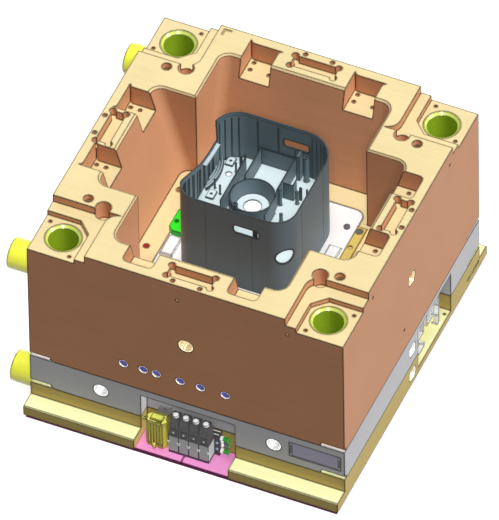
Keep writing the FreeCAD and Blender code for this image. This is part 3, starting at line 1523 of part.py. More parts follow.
def locking_lever(count, front, back, pivot_x, pivot_z):
    """A U-shaped lever: two arms on the socket's pivots and a bar that joins them above."""
    name = f"connector_lever_{count}"
    body = new_body(name)
    inner_front = front - S.lever_air
    inner_back = back + S.lever_air
    half = S.lever_wide / 2
    top = pivot_z + S.lever_arm
    loop = rectangle(pivot_x - half, pivot_x + half, pivot_z - half, top)
    prism(body, name + "_arms", "XZ_Plane", inner_front - S.lever_thick, inner_back + S.lever_thick, [loop])
    under = rectangle(
        pivot_x - half - BEYOND, pivot_x + half + BEYOND, pivot_z - half - BEYOND, top - S.lever_thick,
    )
    prism(body, name + "_gap", "XZ_Plane", inner_front, inner_back, [under], cut=True)
    hole = Ring(pivot_x, pivot_z, S.lever_pivot_r + S.lever_air)
    prism(body, name + "_holes", "XZ_Plane", inner_front - S.lever_thick, inner_back + S.lever_thick,
          [hole], cut=True)


def build_all():
    cavity_plate()
    frame_plate()
    clamp_plate()
    insulation_board("insulation_board_left", -1)
    insulation_board("insulation_board_right", 1)
    guide_bushes()
    foot_pillars()
    cavity_insert()
    moulded_housing()
    side_lock()
    floor_pieces()
    water_nipples()
    name_plate()
    tie_screws()
    hot_runner_block()
    hot_nozzles()
    valve_cylinders()
    nozzle_entry()
    valve_island()
    ribbed_connector()
    cable_bracket()
    connector_sockets()


def check_document():
    """Stop if any object failed, or if a sub-part has no valid shape."""
    DOC.recompute()
    failed = [o.Name for o in DOC.Objects if "Invalid" in o.State or "Error" in o.State]
    if failed:
        raise RuntimeError(f"failed objects: {failed}")


def nodes():
    """The sub-parts: every group of pieces, and every body that is in no group."""
    groups = [o for o in DOC.Objects if o.TypeId == "Part::Compound"]
    grouped = [piece for compound in groups for piece in compound.Links]
    bodies = [o for o in DOC.Objects if o.TypeId == "PartDesign::Body" and o not in grouped]
    return bodies + groups


def export_all():
    os.makedirs("parts", exist_ok=True)
    for node in nodes():
        shape = node.Shape
        if shape.isNull() or not shape.isValid():
            raise RuntimeError(f"{node.Label} has no valid shape")
        shape.exportStep(f"parts/{node.Label}.step")


build_all()
check_document()
export_all()
print(len(nodes()), "sub-parts written")
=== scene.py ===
"""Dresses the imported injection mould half: steel finishes, threads, valve island and connector details."""

import json
import logging
import math
from dataclasses import asdict, dataclass
from enum import Enum

import bmesh
import bpy
from mathutils import Matrix, Vector


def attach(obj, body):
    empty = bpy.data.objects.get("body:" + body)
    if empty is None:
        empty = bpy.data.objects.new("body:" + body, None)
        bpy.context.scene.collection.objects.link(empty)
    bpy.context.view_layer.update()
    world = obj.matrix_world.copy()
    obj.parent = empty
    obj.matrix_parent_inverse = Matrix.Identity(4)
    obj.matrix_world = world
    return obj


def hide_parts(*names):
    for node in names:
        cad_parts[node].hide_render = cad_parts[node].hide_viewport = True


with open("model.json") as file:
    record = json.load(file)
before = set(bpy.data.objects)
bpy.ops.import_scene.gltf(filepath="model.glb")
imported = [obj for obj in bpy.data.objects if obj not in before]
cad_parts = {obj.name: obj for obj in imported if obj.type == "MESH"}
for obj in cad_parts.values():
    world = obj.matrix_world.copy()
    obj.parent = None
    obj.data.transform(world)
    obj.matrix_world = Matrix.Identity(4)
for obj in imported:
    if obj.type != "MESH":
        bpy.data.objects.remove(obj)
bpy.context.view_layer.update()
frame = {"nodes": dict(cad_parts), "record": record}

LOG = logging.getLogger("mould")
MM = 0.001
MOULD = "mould"
NODES = frame["nodes"]

Tree = bpy.types.NodeTree
Node = bpy.types.Node
Socket = bpy.types.NodeSocket
Obj = bpy.types.Object
Material = bpy.types.Material
Mesh = bmesh.types.BMesh
Flat = tuple[float, float]
Point = tuple[float, float, float]

RIGHT, LEFT = (1.0, 0.0, 0.0), (-1.0, 0.0, 0.0)
BACKWARD, FORWARD = (0.0, 1.0, 0.0), (0.0, -1.0, 0.0)
UP = (0.0, 0.0, 1.0)

# The looks that all finishes share: how rough and deep the grain is, how large the slow patches are,
# how level a face has to be to take the painted light of the tops, and how far a broken edge reaches.
ROUGH_SWING = 0.06
BUMP_STRENGTH = 0.12
BUMP_MM = 0.2
PATCH_SCALE = 7.0
GRAIN_RANGE = (0.6, 1.4)
LIT_TOP_RANGE = (0.35, 0.95)
EDGE_RANGE = (0.982, 0.996)
EDGE_SAMPLES = 6


def linear(hex_colour: str) -> tuple[float, float, float, float]:
    """Turn an sRGB hex colour into linear values.

    Args:
        hex_colour: Six hex digits, red first.

    Returns:
        Red, green, blue and an alpha of one.
    """
    parts = [int(hex_colour[i:i + 2], 16) / 255 for i in (0, 2, 4)]
    red, green, blue = (c / 12.92 if c <= 0.04045 else ((c + 0.055) / 1.055) ** 2.4 for c in parts)
    return (red, green, blue, 1.0)


def add(tree: Tree, kind: str, inputs: dict | None = None, **settings: object) -> Node:
    """Add a node with its settings, and with values or links for its inputs.

    Args:
        tree: The node tree.
        kind: The node's type name.
        inputs: Input name or index, with a value or an output socket to link.
        settings: Attributes of the node.

    Returns:
        The new node.
    """
    node = tree.nodes.new(kind)
    for name, value in settings.items():
        setattr(node, name, value)
    for key, value in (inputs or {}).items():
        if isinstance(value, Socket):
            tree.links.new(value, node.inputs[key])
        else:
            node.inputs[key].default_value = value
    return node


def combine(tree: Tree, operation: str, one: Socket, two: Socket | float) -> Socket:
    """The result of a Math node's operation on two values."""
    return add(tree, "ShaderNodeMath", {0: one, 1: two}, operation=operation).outputs["Value"]


def remap(tree: Tree, value: Socket, before: Flat, after: Flat, **settings: object) -> Socket:
    """Map a value from the range that it comes in to the range that it goes to."""
    return add(tree, "ShaderNodeMapRange", {
        "Value": value, "From Min": before[0], "From Max": before[1], "To Min": after[0], "To Max": after[1],
    }, **settings).outputs["Result"]


def shaded(tree: Tree, colour: Socket, factor: Socket) -> Socket:
    """A colour made darker or lighter by a factor."""
    scaled = add(tree, "ShaderNodeVectorMath", {0: colour, "Scale": factor}, operation="SCALE")
    return scaled.outputs["Vector"]


def fresh_tree(owner: Material | bpy.types.World) -> Tree:
    """Give a material or the world an empty node tree.

    Args:
        owner: The material or the world.

    Returns:
        Its tree.
    """
    owner.use_nodes = True
    owner.node_tree.nodes.clear()
    return owner.node_tree


def show(name: str, data: bpy.types.ID) -> Obj:
    """Put new data into the scene.

    Args:
        name: The object's name.
        data: Its mesh, lamp or camera.

    Returns:
        The new object.
    """
    made = bpy.data.objects.new(name, data)
    bpy.context.scene.collection.objects.link(made)
    return made


def settle(name: str, mesh: Mesh) -> bpy.types.Mesh:
    """Keep an edited mesh as mesh data, and free it.

    Args:
        name: The data's name.
        mesh: The edited mesh.

    Returns:
        The mesh data.
    """
    data = bpy.data.meshes.new(name)
    mesh.to_mesh(data)
    mesh.free()
    return data


class Direction(Enum):
    """The way that the tool marks of a surface run."""

    ALONG_X = (0.02, 1.0, 1.0)
    ALL_WAYS = (1.0, 1.0, 1.0)


@dataclass(frozen=True)
class Finish:
    """A surface with a colour, a fine grain, tool marks and a darker line where its edges are broken."""

    name: str
    colour: str
    roughness: float
    metallic: float = 0.0
    # The paler colour that level faces take, which is painted light.
    lit_top_colour: str = ""
    marks: Direction = Direction.ALL_WAYS
    marks_mm: float = 3.0
    mottle: float = 0.06
    edge_mm: float = 6.5
    edge_dark: float = 0.88
    coat: float = 0.0
    specular: float = 0.5
    # The height up to which level faces take that painted light.
    lit_tops_up_to_mm: float = 0.0

    def build(self) -> Material:
        """Make the material.

        Returns:
            The material, with its nodes linked.
        """
        material = bpy.data.materials.new(self.name)
        tree = fresh_tree(material)
        place = add(tree, "ShaderNodeTexCoord").outputs["Object"]
        marks = self.tool_marks(tree, place)
        bump = add(tree, "ShaderNodeBump", {
            "Height": marks, "Strength": BUMP_STRENGTH, "Distance": BUMP_MM * MM,
        })
        shader = add(tree, "ShaderNodeBsdfPrincipled", {
            "Metallic": self.metallic, "Coat Weight": self.coat, "Specular IOR Level": self.specular,
            "Base Color": self.tone(tree, place, marks), "Normal": bump.outputs["Normal"],
            "Roughness": remap(tree, marks, (0.0, 1.0), (self.roughness - ROUGH_SWING,
                                                         self.roughness + ROUGH_SWING)),
        })
        add(tree, "ShaderNodeOutputMaterial", {"Surface": shader.outputs["BSDF"]})
        return material

    def tool_marks(self, tree: Tree, place: Socket) -> Socket:
        """Streaks or grain at the real spacing of the marks.

        Args:
            tree: The material's tree.
            place: Object coordinates.

        Returns:
            A height between nought and one.
        """
        stretch = add(tree, "ShaderNodeMapping", {"Vector": place, "Scale": self.marks.value})
        noise = add(tree, "ShaderNodeTexNoise", {
            "Vector": stretch.outputs["Vector"], "Scale": 1.0 / (self.marks_mm * MM), "Detail": 3.0,
        })
        return noise.outputs["Fac"]

    def tone(self, tree: Tree, place: Socket, marks: Socket) -> Socket:
        """The colour with its slow mottling, its tool marks and its edge lines.

        Args:
            tree: The material's tree.
            place: Object coordinates.
            marks: The height of the tool marks.

        Returns:
            A colour socket.
        """
        base = add(tree, "ShaderNodeRGB").outputs["Color"]
        base.default_value = linear(self.colour)
        # Painted light: level faces take a paler colour than the sides.
        if self.lit_top_colour:
            base = self.paint_lit_tops(tree, base, place)
        patches = add(tree, "ShaderNodeTexNoise", {"Vector": place, "Scale": PATCH_SCALE, "Detail": 2.0})
        grain = combine(tree, "ADD", patches.outputs["Fac"], marks)
        mottled = shaded(tree, base, remap(tree, grain, GRAIN_RANGE, (1.0 - self.mottle, 1.0 + self.mottle)))
        return shaded(tree, mottled, self.edge_lines(tree))

    def paint_lit_tops(self, tree: Tree, base: Socket, place: Socket) -> Socket:
        """Painted light: faces that lie level get a paler colour than the sides, up to a height where one is
        given.

        Args:
            tree: The material's tree.
            base: The colour of the sides.
            place: Object coordinates.

        Returns:
            The colour of both.
        """
        normal = add(tree, "ShaderNodeNewGeometry").outputs["Normal"]
        upward = add(tree, "ShaderNodeSeparateXYZ", {0: normal}).outputs["Z"]
        share = remap(tree, upward, LIT_TOP_RANGE, (0.0, 1.0), interpolation_type="SMOOTHSTEP")
        if self.lit_tops_up_to_mm:
            height = add(tree, "ShaderNodeSeparateXYZ", {0: place}).outputs["Z"]
            low = combine(tree, "LESS_THAN", height, self.lit_tops_up_to_mm * MM)
            share = combine(tree, "MULTIPLY", share, low)
        mix = add(tree, "ShaderNodeMix", data_type="RGBA")
        factor, sides, level = mix.inputs[0], mix.inputs[6], mix.inputs[7]
        tree.links.new(share, factor)
        tree.links.new(base, sides)
        level.default_value = linear(self.lit_top_colour)
        return mix.outputs[2]

    def edge_lines(self, tree: Tree) -> Socket:
        """Broken edges hold oil and show as a thin darker line.

        Args:
            tree: The material's tree.

        Returns:
            A factor of one on the faces and less along the edges.
        """
        rounded = add(tree, "ShaderNodeBevel", {"Radius": self.edge_mm * MM}, samples=EDGE_SAMPLES)
        flat = add(tree, "ShaderNodeNewGeometry").outputs["Normal"]
        match = add(tree, "ShaderNodeVectorMath", {0: rounded.outputs["Normal"], 1: flat},
                    operation="DOT_PRODUCT")
        return remap(tree, match.outputs["Value"], EDGE_RANGE, (1.0 - self.edge_dark, 1.0))


class Steel(Enum):
    """The plates and the machined pieces; the paler colour of their level faces is painted light."""

    CAVITY = Finish("milled_steel_peach_lacquer", "BD8865", 0.45, lit_top_colour="ECD8A4",
                    marks=Direction.ALONG_X, marks_mm=7.0, specular=0.05)
    FRAME = Finish("ground_frame_steel", "BDBDC0", 0.50, lit_top_colour="FFFFFF",
                   marks=Direction.ALONG_X, marks_mm=5.0, specular=0.05)
    CLAMP = Finish("milled_steel_straw_lacquer", "B8A362", 0.45, lit_top_colour="FFFFC4",
                   marks=Direction.ALONG_X, marks_mm=7.0, specular=0.05)
    INSERT = Finish("polished_insert_steel", "FBFBFB", 0.30, marks_mm=9.0, mottle=0.02)
    BUSH = Finish("turned_bush_bronze", "84A021", 0.26, lit_top_colour="F0FC78", coat=0.3, edge_mm=4.0)
    PILLAR = Finish("turned_pillar_coat", "FDFF3A", 0.25, coat=0.3)
    LOCK = Finish("anodised_green_lock", "0CA80C", 0.35, lit_top_colour="1EEA1E", marks_mm=4.0)
    STRIP = Finish("bronze_wear_strip", "D8B64E", 0.32, lit_top_colour="D9C163", marks_mm=4.0)
    # Thread-locked plugs, and the heads beside them with their dark rims of painted shadow.
    PLUG = Finish("red_plug_lacquer", "8E0A10", 0.35, edge_mm=1.0)
    HEAD = Finish("blackened_head", "77777B", 0.35, edge_mm=1.6, edge_dark=0.4)
    PAINTED_SHADOW_RING = Finish("painted_shadow_ring", "242427", 0.4, edge_mm=0.4)
    NIPPLE = Finish("anodised_blue_nipple", "2A2AA8", 0.25, edge_mm=0.5)
    NAME = Finish("etched_name_plate", "8E89A6", 0.35, marks=Direction.ALONG_X)
    # Threads cut in the lacquered plate, and in the bare plates: bright metal, with pale colours painted
    # light in the holes.
    THREAD = Finish("cut_thread_painted_light", "FFF3CC", 0.28, metallic=0.85, mottle=0.03, edge_mm=0.3)
    THREAD_WHITE = Finish("ground_thread_painted_light", "FDFDFD", 0.28, metallic=0.85, mottle=0.02, edge_mm=0.3)
    BARE = Finish("bare_tool_steel", "A9ABB0", 0.32, metallic=0.7, edge_mm=0.6)


class Plastic(Enum):
    """The moulded and pressed pieces; the paler colour of their level faces is painted light."""

    # The moulding; its pale floor and sill are painted light, and its darker ribs are painted shade.
    HOUSING = Finish("moulded_abs_blue_grey", "55646B", 0.48, lit_top_colour="DCEBEE", marks_mm=2.5,
                     mottle=0.03, edge_mm=4.5, specular=0.3, lit_tops_up_to_mm=492.0)
    # A paler copy of the moulding's colour, painted light.
    LIT_SILL = Finish("moulded_abs_sill_painted_light", "C4D8DE", 0.45, marks_mm=2.5, mottle=0.03, edge_mm=2.5, specular=0.3)
    # A darker copy of the moulding's colour, painted shade.
    SHADED_MOULDING = Finish("moulded_abs_painted_shade", "2A3235", 0.45, marks_mm=2.0, mottle=0.04, edge_mm=0.5)
    # Glass mat with a pink binder.
    BOARD = Finish("pressed_insulation_board", "8C356D", 0.65, lit_top_colour="F29AD5", marks_mm=8.0,
                   mottle=0.08, specular=0.05)
    BLACK = Finish("black_glass_filled_nylon", "434345", 0.55, marks_mm=2.0, mottle=0.1, edge_mm=1.6,
                   edge_dark=0.7)
    SMOOTH_BLACK = Finish("smooth_black_nylon", "101012", 0.30, marks_mm=2.0, edge_mm=0.4)
    GREY = Finish("grey_valve_body", "B2BAB6", 0.50, edge_mm=3.2, specular=0.3)
    WHITE = Finish("white_acetal", "FAFAFA", 0.35, mottle=0.02, edge_mm=3.6)
    COLLAR = Finish("white_acetal_collars", "FAFAF8", 0.35, marks_mm=2.0, mottle=0.02, edge_mm=0.3)
    PALE_BLUE = Finish("pale_blue_acetal", "A9D4EE", 0.30, edge_mm=0.4)
    GREEN = Finish("green_acetal", "16AC24", 0.35, edge_mm=0.6)
    YELLOW = Finish("yellow_nylon", "B9B03C", 0.42, lit_top_colour="F2F070", marks_mm=2.0, edge_mm=4.5)


SLOT_FINISH = {
    "peach_steel": Steel.CAVITY, "pale_steel": Steel.FRAME, "khaki_steel": Steel.CLAMP,
    "pink_board": Plastic.BOARD, "lime_bronze": Steel.BUSH, "lime_pillar": Steel.PILLAR,
    "white_steel": Steel.INSERT, "grey_moulding": Plastic.HOUSING, "green_lock": Steel.LOCK,
    "gold_bronze": Steel.STRIP, "dark_red": Steel.PLUG, "blue_nipple": Steel.NIPPLE,
    "plate_violet": Steel.NAME, "tool_steel": Steel.BARE, "black_plastic": Plastic.BLACK,
    "grey_plastic": Plastic.GREY, "white_plastic": Plastic.WHITE, "green_plastic": Plastic.GREEN,
    "yellow_plastic": Plastic.YELLOW, "grey_metal": Steel.BARE,
}


@dataclass(frozen=True)
class Spot:
    """Where a repeated shape stands, the way it points, and its three sizes; all in millimetres."""

    at: Point
    towards: Point = UP
    size: Point = (1.0, 1.0, 1.0)


@dataclass(frozen=True)
class Coil:
    """A stack of wire rings: a ring's radius, its wire's radius, the pitch and how many rings."""

    ring: float
    wire: float
    pitch: float
    rings: int


class Repeater:
    """A node tree that sets one shape on every spot; the children make the shape."""

    def __init__(self, workshop: "Workshop") -> None:
        """Build the tree.

        Args:
            workshop: The maker of materials and pieces.
        """
        self.workshop = workshop
        self.tree = bpy.data.node_groups.new(type(self).__name__, "GeometryNodeTree")
        self.socket("Geometry", "NodeSocketGeometry")
        self.socket("Material", "NodeSocketMaterial")
        self.tree.interface.new_socket("Geometry", in_out="OUTPUT", socket_type="NodeSocketGeometry")
        self.source = add(self.tree, "NodeGroupInput")
        shape = self.shape()
        towards = self.attribute("towards")
        turn = add(self.tree, "FunctionNodeAlignRotationToVector", {"Vector": towards}, axis="Z")
        spread = add(self.tree, "GeometryNodeInstanceOnPoints", {
            "Points": self.source.outputs["Geometry"], "Instance": shape,
            "Rotation": turn.outputs["Rotation"], "Scale": self.attribute("size"),
        })
        real = add(self.tree, "GeometryNodeRealizeInstances", {"Geometry": spread.outputs["Instances"]})
        done = add(self.tree, "GeometryNodeSetMaterial", {
            "Geometry": real.outputs["Geometry"], "Material": self.source.outputs["Material"],
        })
        add(self.tree, "NodeGroupOutput", {"Geometry": done.outputs["Geometry"]})

    def socket(self, name: str, kind: str) -> None:
        """Give the tree one more input, with its name and socket type."""
        self.tree.interface.new_socket(name, in_out="INPUT", socket_type=kind)

    def attribute(self, name: str) -> Socket:
        """A vector that each spot carries under this name."""
        node = add(self.tree, "GeometryNodeInputNamedAttribute", {"Name": name}, data_type="FLOAT_VECTOR")
        return node.outputs["Attribute"]

    def shape(self) -> Socket:
        """The shape that is repeated."""
        raise NotImplementedError

    def run(self, name: str, spots: list[Spot], finish: Steel | Plastic, slot: str, **values: float) -> None:
        """Set the shape on the spots and keep the result as one plain piece.

        Args:
            name: The piece's name.
            spots: Where the shapes stand.
            finish: The piece's finish.
            slot: The record's slot that it goes with.
            values: Numbers for the tree's own inputs.
        """
        data = bpy.data.meshes.new(name + "_spots")
        data.from_pydata([tuple(v * MM for v in spot.at) for spot in spots], [], [])
        for key, scale in (("towards", 1.0), ("size", MM)):
            layer = data.attributes.new(key, "FLOAT_VECTOR", "POINT")
            for item, spot in zip(layer.data, spots):
                item.vector = [v * scale for v in getattr(spot, key)]
        holder = show(name + "_spots", data)
        modifier = holder.modifiers.new("repeat", "NODES")
        modifier.node_group = self.tree
        inputs = {"Material": self.workshop.material(finish), **values}
        for item in self.tree.interface.items_tree:
            if item.in_out == "INPUT" and item.name in inputs:
                modifier[item.identifier] = inputs[item.name]
        graph = bpy.context.evaluated_depsgraph_get()
        made = bpy.data.meshes.new_from_object(holder.evaluated_get(graph), depsgraph=graph)
        bpy.data.objects.remove(holder)
        bpy.data.meshes.remove(data)
        mesh = bmesh.new()
        mesh.from_mesh(made)
        bpy.data.meshes.remove(made)
        bmesh.ops.scale(mesh, vec=(1 / MM, 1 / MM, 1 / MM), verts=mesh.verts)
        self.workshop.piece(name, mesh, finish, slot)


class Posts(Repeater):
    """Repeats a round post, one unit wide and one unit high, that stands on its spot."""

    def shape(self) -> Socket:
        """A post with a chosen number of sides."""
        self.socket("sides", "NodeSocketInt")
        post = add(self.tree, "GeometryNodeMeshCylinder", {
            "Vertices": self.source.outputs["sides"], "Radius": 0.5, "Depth": 1.0,
        })
        lifted = add(self.tree, "GeometryNodeTransform", {
            "Geometry": post.outputs["Mesh"], "Translation": (0.0, 0.0, 0.5),
        })
        return lifted.outputs["Geometry"]


class Coils(Repeater):
    """Repeats a stack of rings, such as the crests of a thread."""

    def shape(self) -> Socket:
        """Rings of round wire at an even pitch."""
        for name in ("ring", "wire", "pitch"):
            self.socket(name, "NodeSocketFloat")
        self.socket("rings", "NodeSocketInt")
        path, wire = (
            add(self.tree, "GeometryNodeCurvePrimitiveCircle", {
                "Resolution": sides, "Radius": self.source.outputs[radius],
            }) for radius, sides in (("ring", 48), ("wire", 8))
        )
        ring = add(self.tree, "GeometryNodeCurveToMesh", {
            "Curve": path.outputs["Curve"], "Profile Curve": wire.outputs["Curve"],
        })
        step = add(self.tree, "ShaderNodeCombineXYZ", {"Z": self.source.outputs["pitch"]})
        line = add(self.tree, "GeometryNodeMeshLine", {
            "Count": self.source.outputs["rings"], "Offset": step.outputs["Vector"],
        })
        stack = add(self.tree, "GeometryNodeInstanceOnPoints", {
            "Points": line.outputs["Mesh"], "Instance": ring.outputs["Mesh"],
        })
        return stack.outputs["Instances"]


class Workshop:
    """Keeps each material once, and turns meshes into finished pieces."""

    def __init__(self) -> None:
        """Start with no materials, and with the two trees that repeat a shape."""
        self.materials: dict[str, Material] = {}
        self.posts = Posts(self)
        self.coils = Coils(self)

    def material(self, finish: Steel | Plastic) -> Material:
        """The material of a finish, built on its first use.

        Args:
            finish: Which finish.

        Returns:
            The one material with that finish's name.
        """
        recipe = finish.value
        if recipe.name not in self.materials:
            self.materials[recipe.name] = recipe.build()
        return self.materials[recipe.name]

    def dress_nodes(self) -> None:
        """Give every CAD node the finish of its slot in the record."""
        for part in frame["record"]["subparts"]:
            node = NODES[part["node"]]
            node.data.materials.clear()
            node.data.materials.append(self.material(SLOT_FINISH[part["material_slot"]]))
        # Of the node of the floor's screws only the plug on the left is red.
        screws = NODES["floor_screws"].data
        screws.materials.append(self.material(Steel.HEAD))
        for face in screws.polygons:
            face.material_index = int(face.center.x > 0.0)

    def piece(self, name: str, mesh: Mesh, finish: Steel | Plastic, slot: str, instead_of: str = "") -> None:
        """Turn a mesh into a piece that rides on the mould.

        Args:
            name: The piece's name.
            mesh: Its mesh, in millimetres, in place.
            finish: Its finish.
            slot: The record's slot that it goes with; not used.
            instead_of: The plainer CAD node that it stands for, if any.
        """
        bmesh.ops.scale(mesh, vec=(MM, MM, MM), verts=mesh.verts)
        bmesh.ops.recalc_face_normals(mesh, faces=mesh.faces)
        data = settle(name, mesh)
        data.materials.append(self.material(finish))
        made = show(name, data)
        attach(made, MOULD)
        if instead_of:
            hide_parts(instead_of)
        LOG.info("made %s", name)


def block(mesh: Mesh, low: Point, high: Point, bevel: float = 0.6) -> None:
    """Add a block with broken edges.

    Args:
        mesh: The mesh that takes it.
        low: Its lowest corner in millimetres.
        high: Its highest corner.
        bevel: The width of the broken edges.
    """
    middle = (Vector(low) + Vector(high)) / 2
    size = Vector(high) - Vector(low)
    matrix = Matrix.Translation(middle) @ Matrix.Diagonal((*size, 1.0))
    verts = bmesh.ops.create_cube(mesh, size=1.0, matrix=matrix)["verts"]
    edges = list({edge for vert in verts for edge in vert.link_edges})
    bmesh.ops.bevel(mesh, geom=edges, offset=bevel, segments=1, affect="EDGES")


def skin(mesh: Mesh, rows: list[list[bmesh.types.BMVert]], closed: bool = True) -> None:
    """Join sections that follow each other, round a ring or with an end face at each end.

    Args:
        mesh: The mesh that holds them.
        rows: The sections' corners.
        closed: Whether the last section joins the first.
    """
    count = len(rows[0])
    for one, two in zip(rows, rows[1:] + rows[:1] if closed else rows[1:]):
        for k in range(count):
            after = (k + 1) % count
            mesh.faces.new((one[k], two[k], two[after], one[after]))
    if not closed:
        mesh.faces.new(rows[0][::-1])
        mesh.faces.new(rows[-1])


def sweep(mesh: Mesh, path: list[Point], thick: float, rise: Point, closed: bool = False) -> None:
    """Add a strip that follows a path.

    Args:
        mesh: The mesh that takes it.
        path: The middle of the strip's foot, in millimetres.
        thick: The strip's thickness, across the path and across its rise.
        rise: The strip's height and the way that it goes.
        closed: Whether the end joins the start.
    """
    points = [Vector(p) for p in path]
    up = Vector(rise)
    rows = []
    for i, point in enumerate(points):
        before = points[i - 1] if closed or i else point
        after = points[(i + 1) % len(points)] if closed or i + 1 < len(points) else point
        across = (after - before).cross(up).normalized() * (thick / 2)
        corners = (point - across, point + across, point + across + up, point - across + up)
        rows.append([mesh.verts.new(c) for c in corners])
    skin(mesh, rows, closed)


def turned(mesh: Mesh, profile: list[Flat], at: Point, towards: Point, steps: int = 32) -> None:
    """Add a turned ring.

    Args:
        mesh: The mesh that takes it.
        profile: Its closed section, as radius and distance along its axis.
        at: The start of its axis in millimetres.
        towards: The way that its axis goes.
        steps: How many faces go round it.
    """
    turn = Vector(towards).to_track_quat("Z", "Y").to_matrix()
    rows = []
    for i in range(steps):
        angle = math.tau * i / steps
        spokes = (Vector((r * math.cos(angle), r * math.sin(angle), along)) for r, along in profile)
        rows.append([mesh.verts.new(turn @ spoke + Vector(at)) for spoke in spokes])
    skin(mesh, rows)


def upright(mesh: Mesh, outline: list[Flat], low: float, high: float) -> None:
    """Add a solid with level ends at two heights and an outline drawn from above."""
    skin(mesh, [[mesh.verts.new((x, y, z)) for x, y in outline] for z in (low, high)], closed=False)


def arc(centre: Flat, radius: float, start: float, end: float, steps: int = 12) -> list[Flat]:
    """Points along an arc between two angles in degrees, with both ends."""
    angles = (math.radians(start + (end - start) * i / steps) for i in range(steps + 1))
    return [(centre[0] + radius * math.cos(a), centre[1] + radius * math.sin(a)) for a in angles]


@dataclass
class Details:
    """Small pieces that belong together; the children make them. All sizes are in millimetres."""

    workshop: Workshop


@dataclass
class SideHoles(Details):
    """What shows in the holes of the plates' sides: threads and port lips, whose pale colour is painted
    light, and the collars of the water ports.
    """

    half: float = 450.0
    thread_in: float = 2.0
    lift_heights: Point = (418.0, 141.0, 48.0)
    frame_lift_x: float = 247.0
    thread: Coil = Coil(19.6, 1.6, 4.5, 12)
    port_x: tuple[float, ...] = (-180.0, -123.5, -86.0, -18.0, 40.0, 110.5)
    port_z: float = 275.0
    port_face: float = -446.0
    collar: Coil = Coil(10.2, 2.2, 4.5, 2)
    lip_in: float = 0.6
    lip: Coil = Coil(12.2, 0.7, 1.1, 3)

    def build(self) -> None:
        """Make the threads and the collars."""
        coils = self.workshop.coils
        top, middle, low = self.lift_heights
        edge, side = self.half - self.thread_in, self.frame_lift_x
        cavity = [Spot((0, -edge, top), BACKWARD), Spot((0, edge, top), FORWARD),
                  Spot((edge, 0, top), LEFT), Spot((-edge, 0, top), RIGHT)]
        frames = [Spot((-side, -edge, middle), BACKWARD), Spot((side, -edge, middle), BACKWARD),
                  Spot((edge, 0, middle), LEFT), Spot((edge, 0, low), LEFT)]
        # The threads and the port lips are pale with painted light.
        coils.run("cavity_threads", cavity, Steel.THREAD, "peach_steel", **asdict(self.thread))
        coils.run("frame_threads", frames, Steel.THREAD_WHITE, "pale_steel", **asdict(self.thread))
        for name, y, coil, finish, slot in (
            ("port_collars", self.port_face + self.collar.wire, self.collar, Steel.NIPPLE, "blue_nipple"),
            ("port_lips", self.lip_in - self.half, self.lip, Steel.THREAD_WHITE, "pale_steel"),
        ):
            spots = [Spot((x, y, self.port_z), BACKWARD) for x in self.port_x]
            coils.run(name, spots, finish, slot, **asdict(coil))


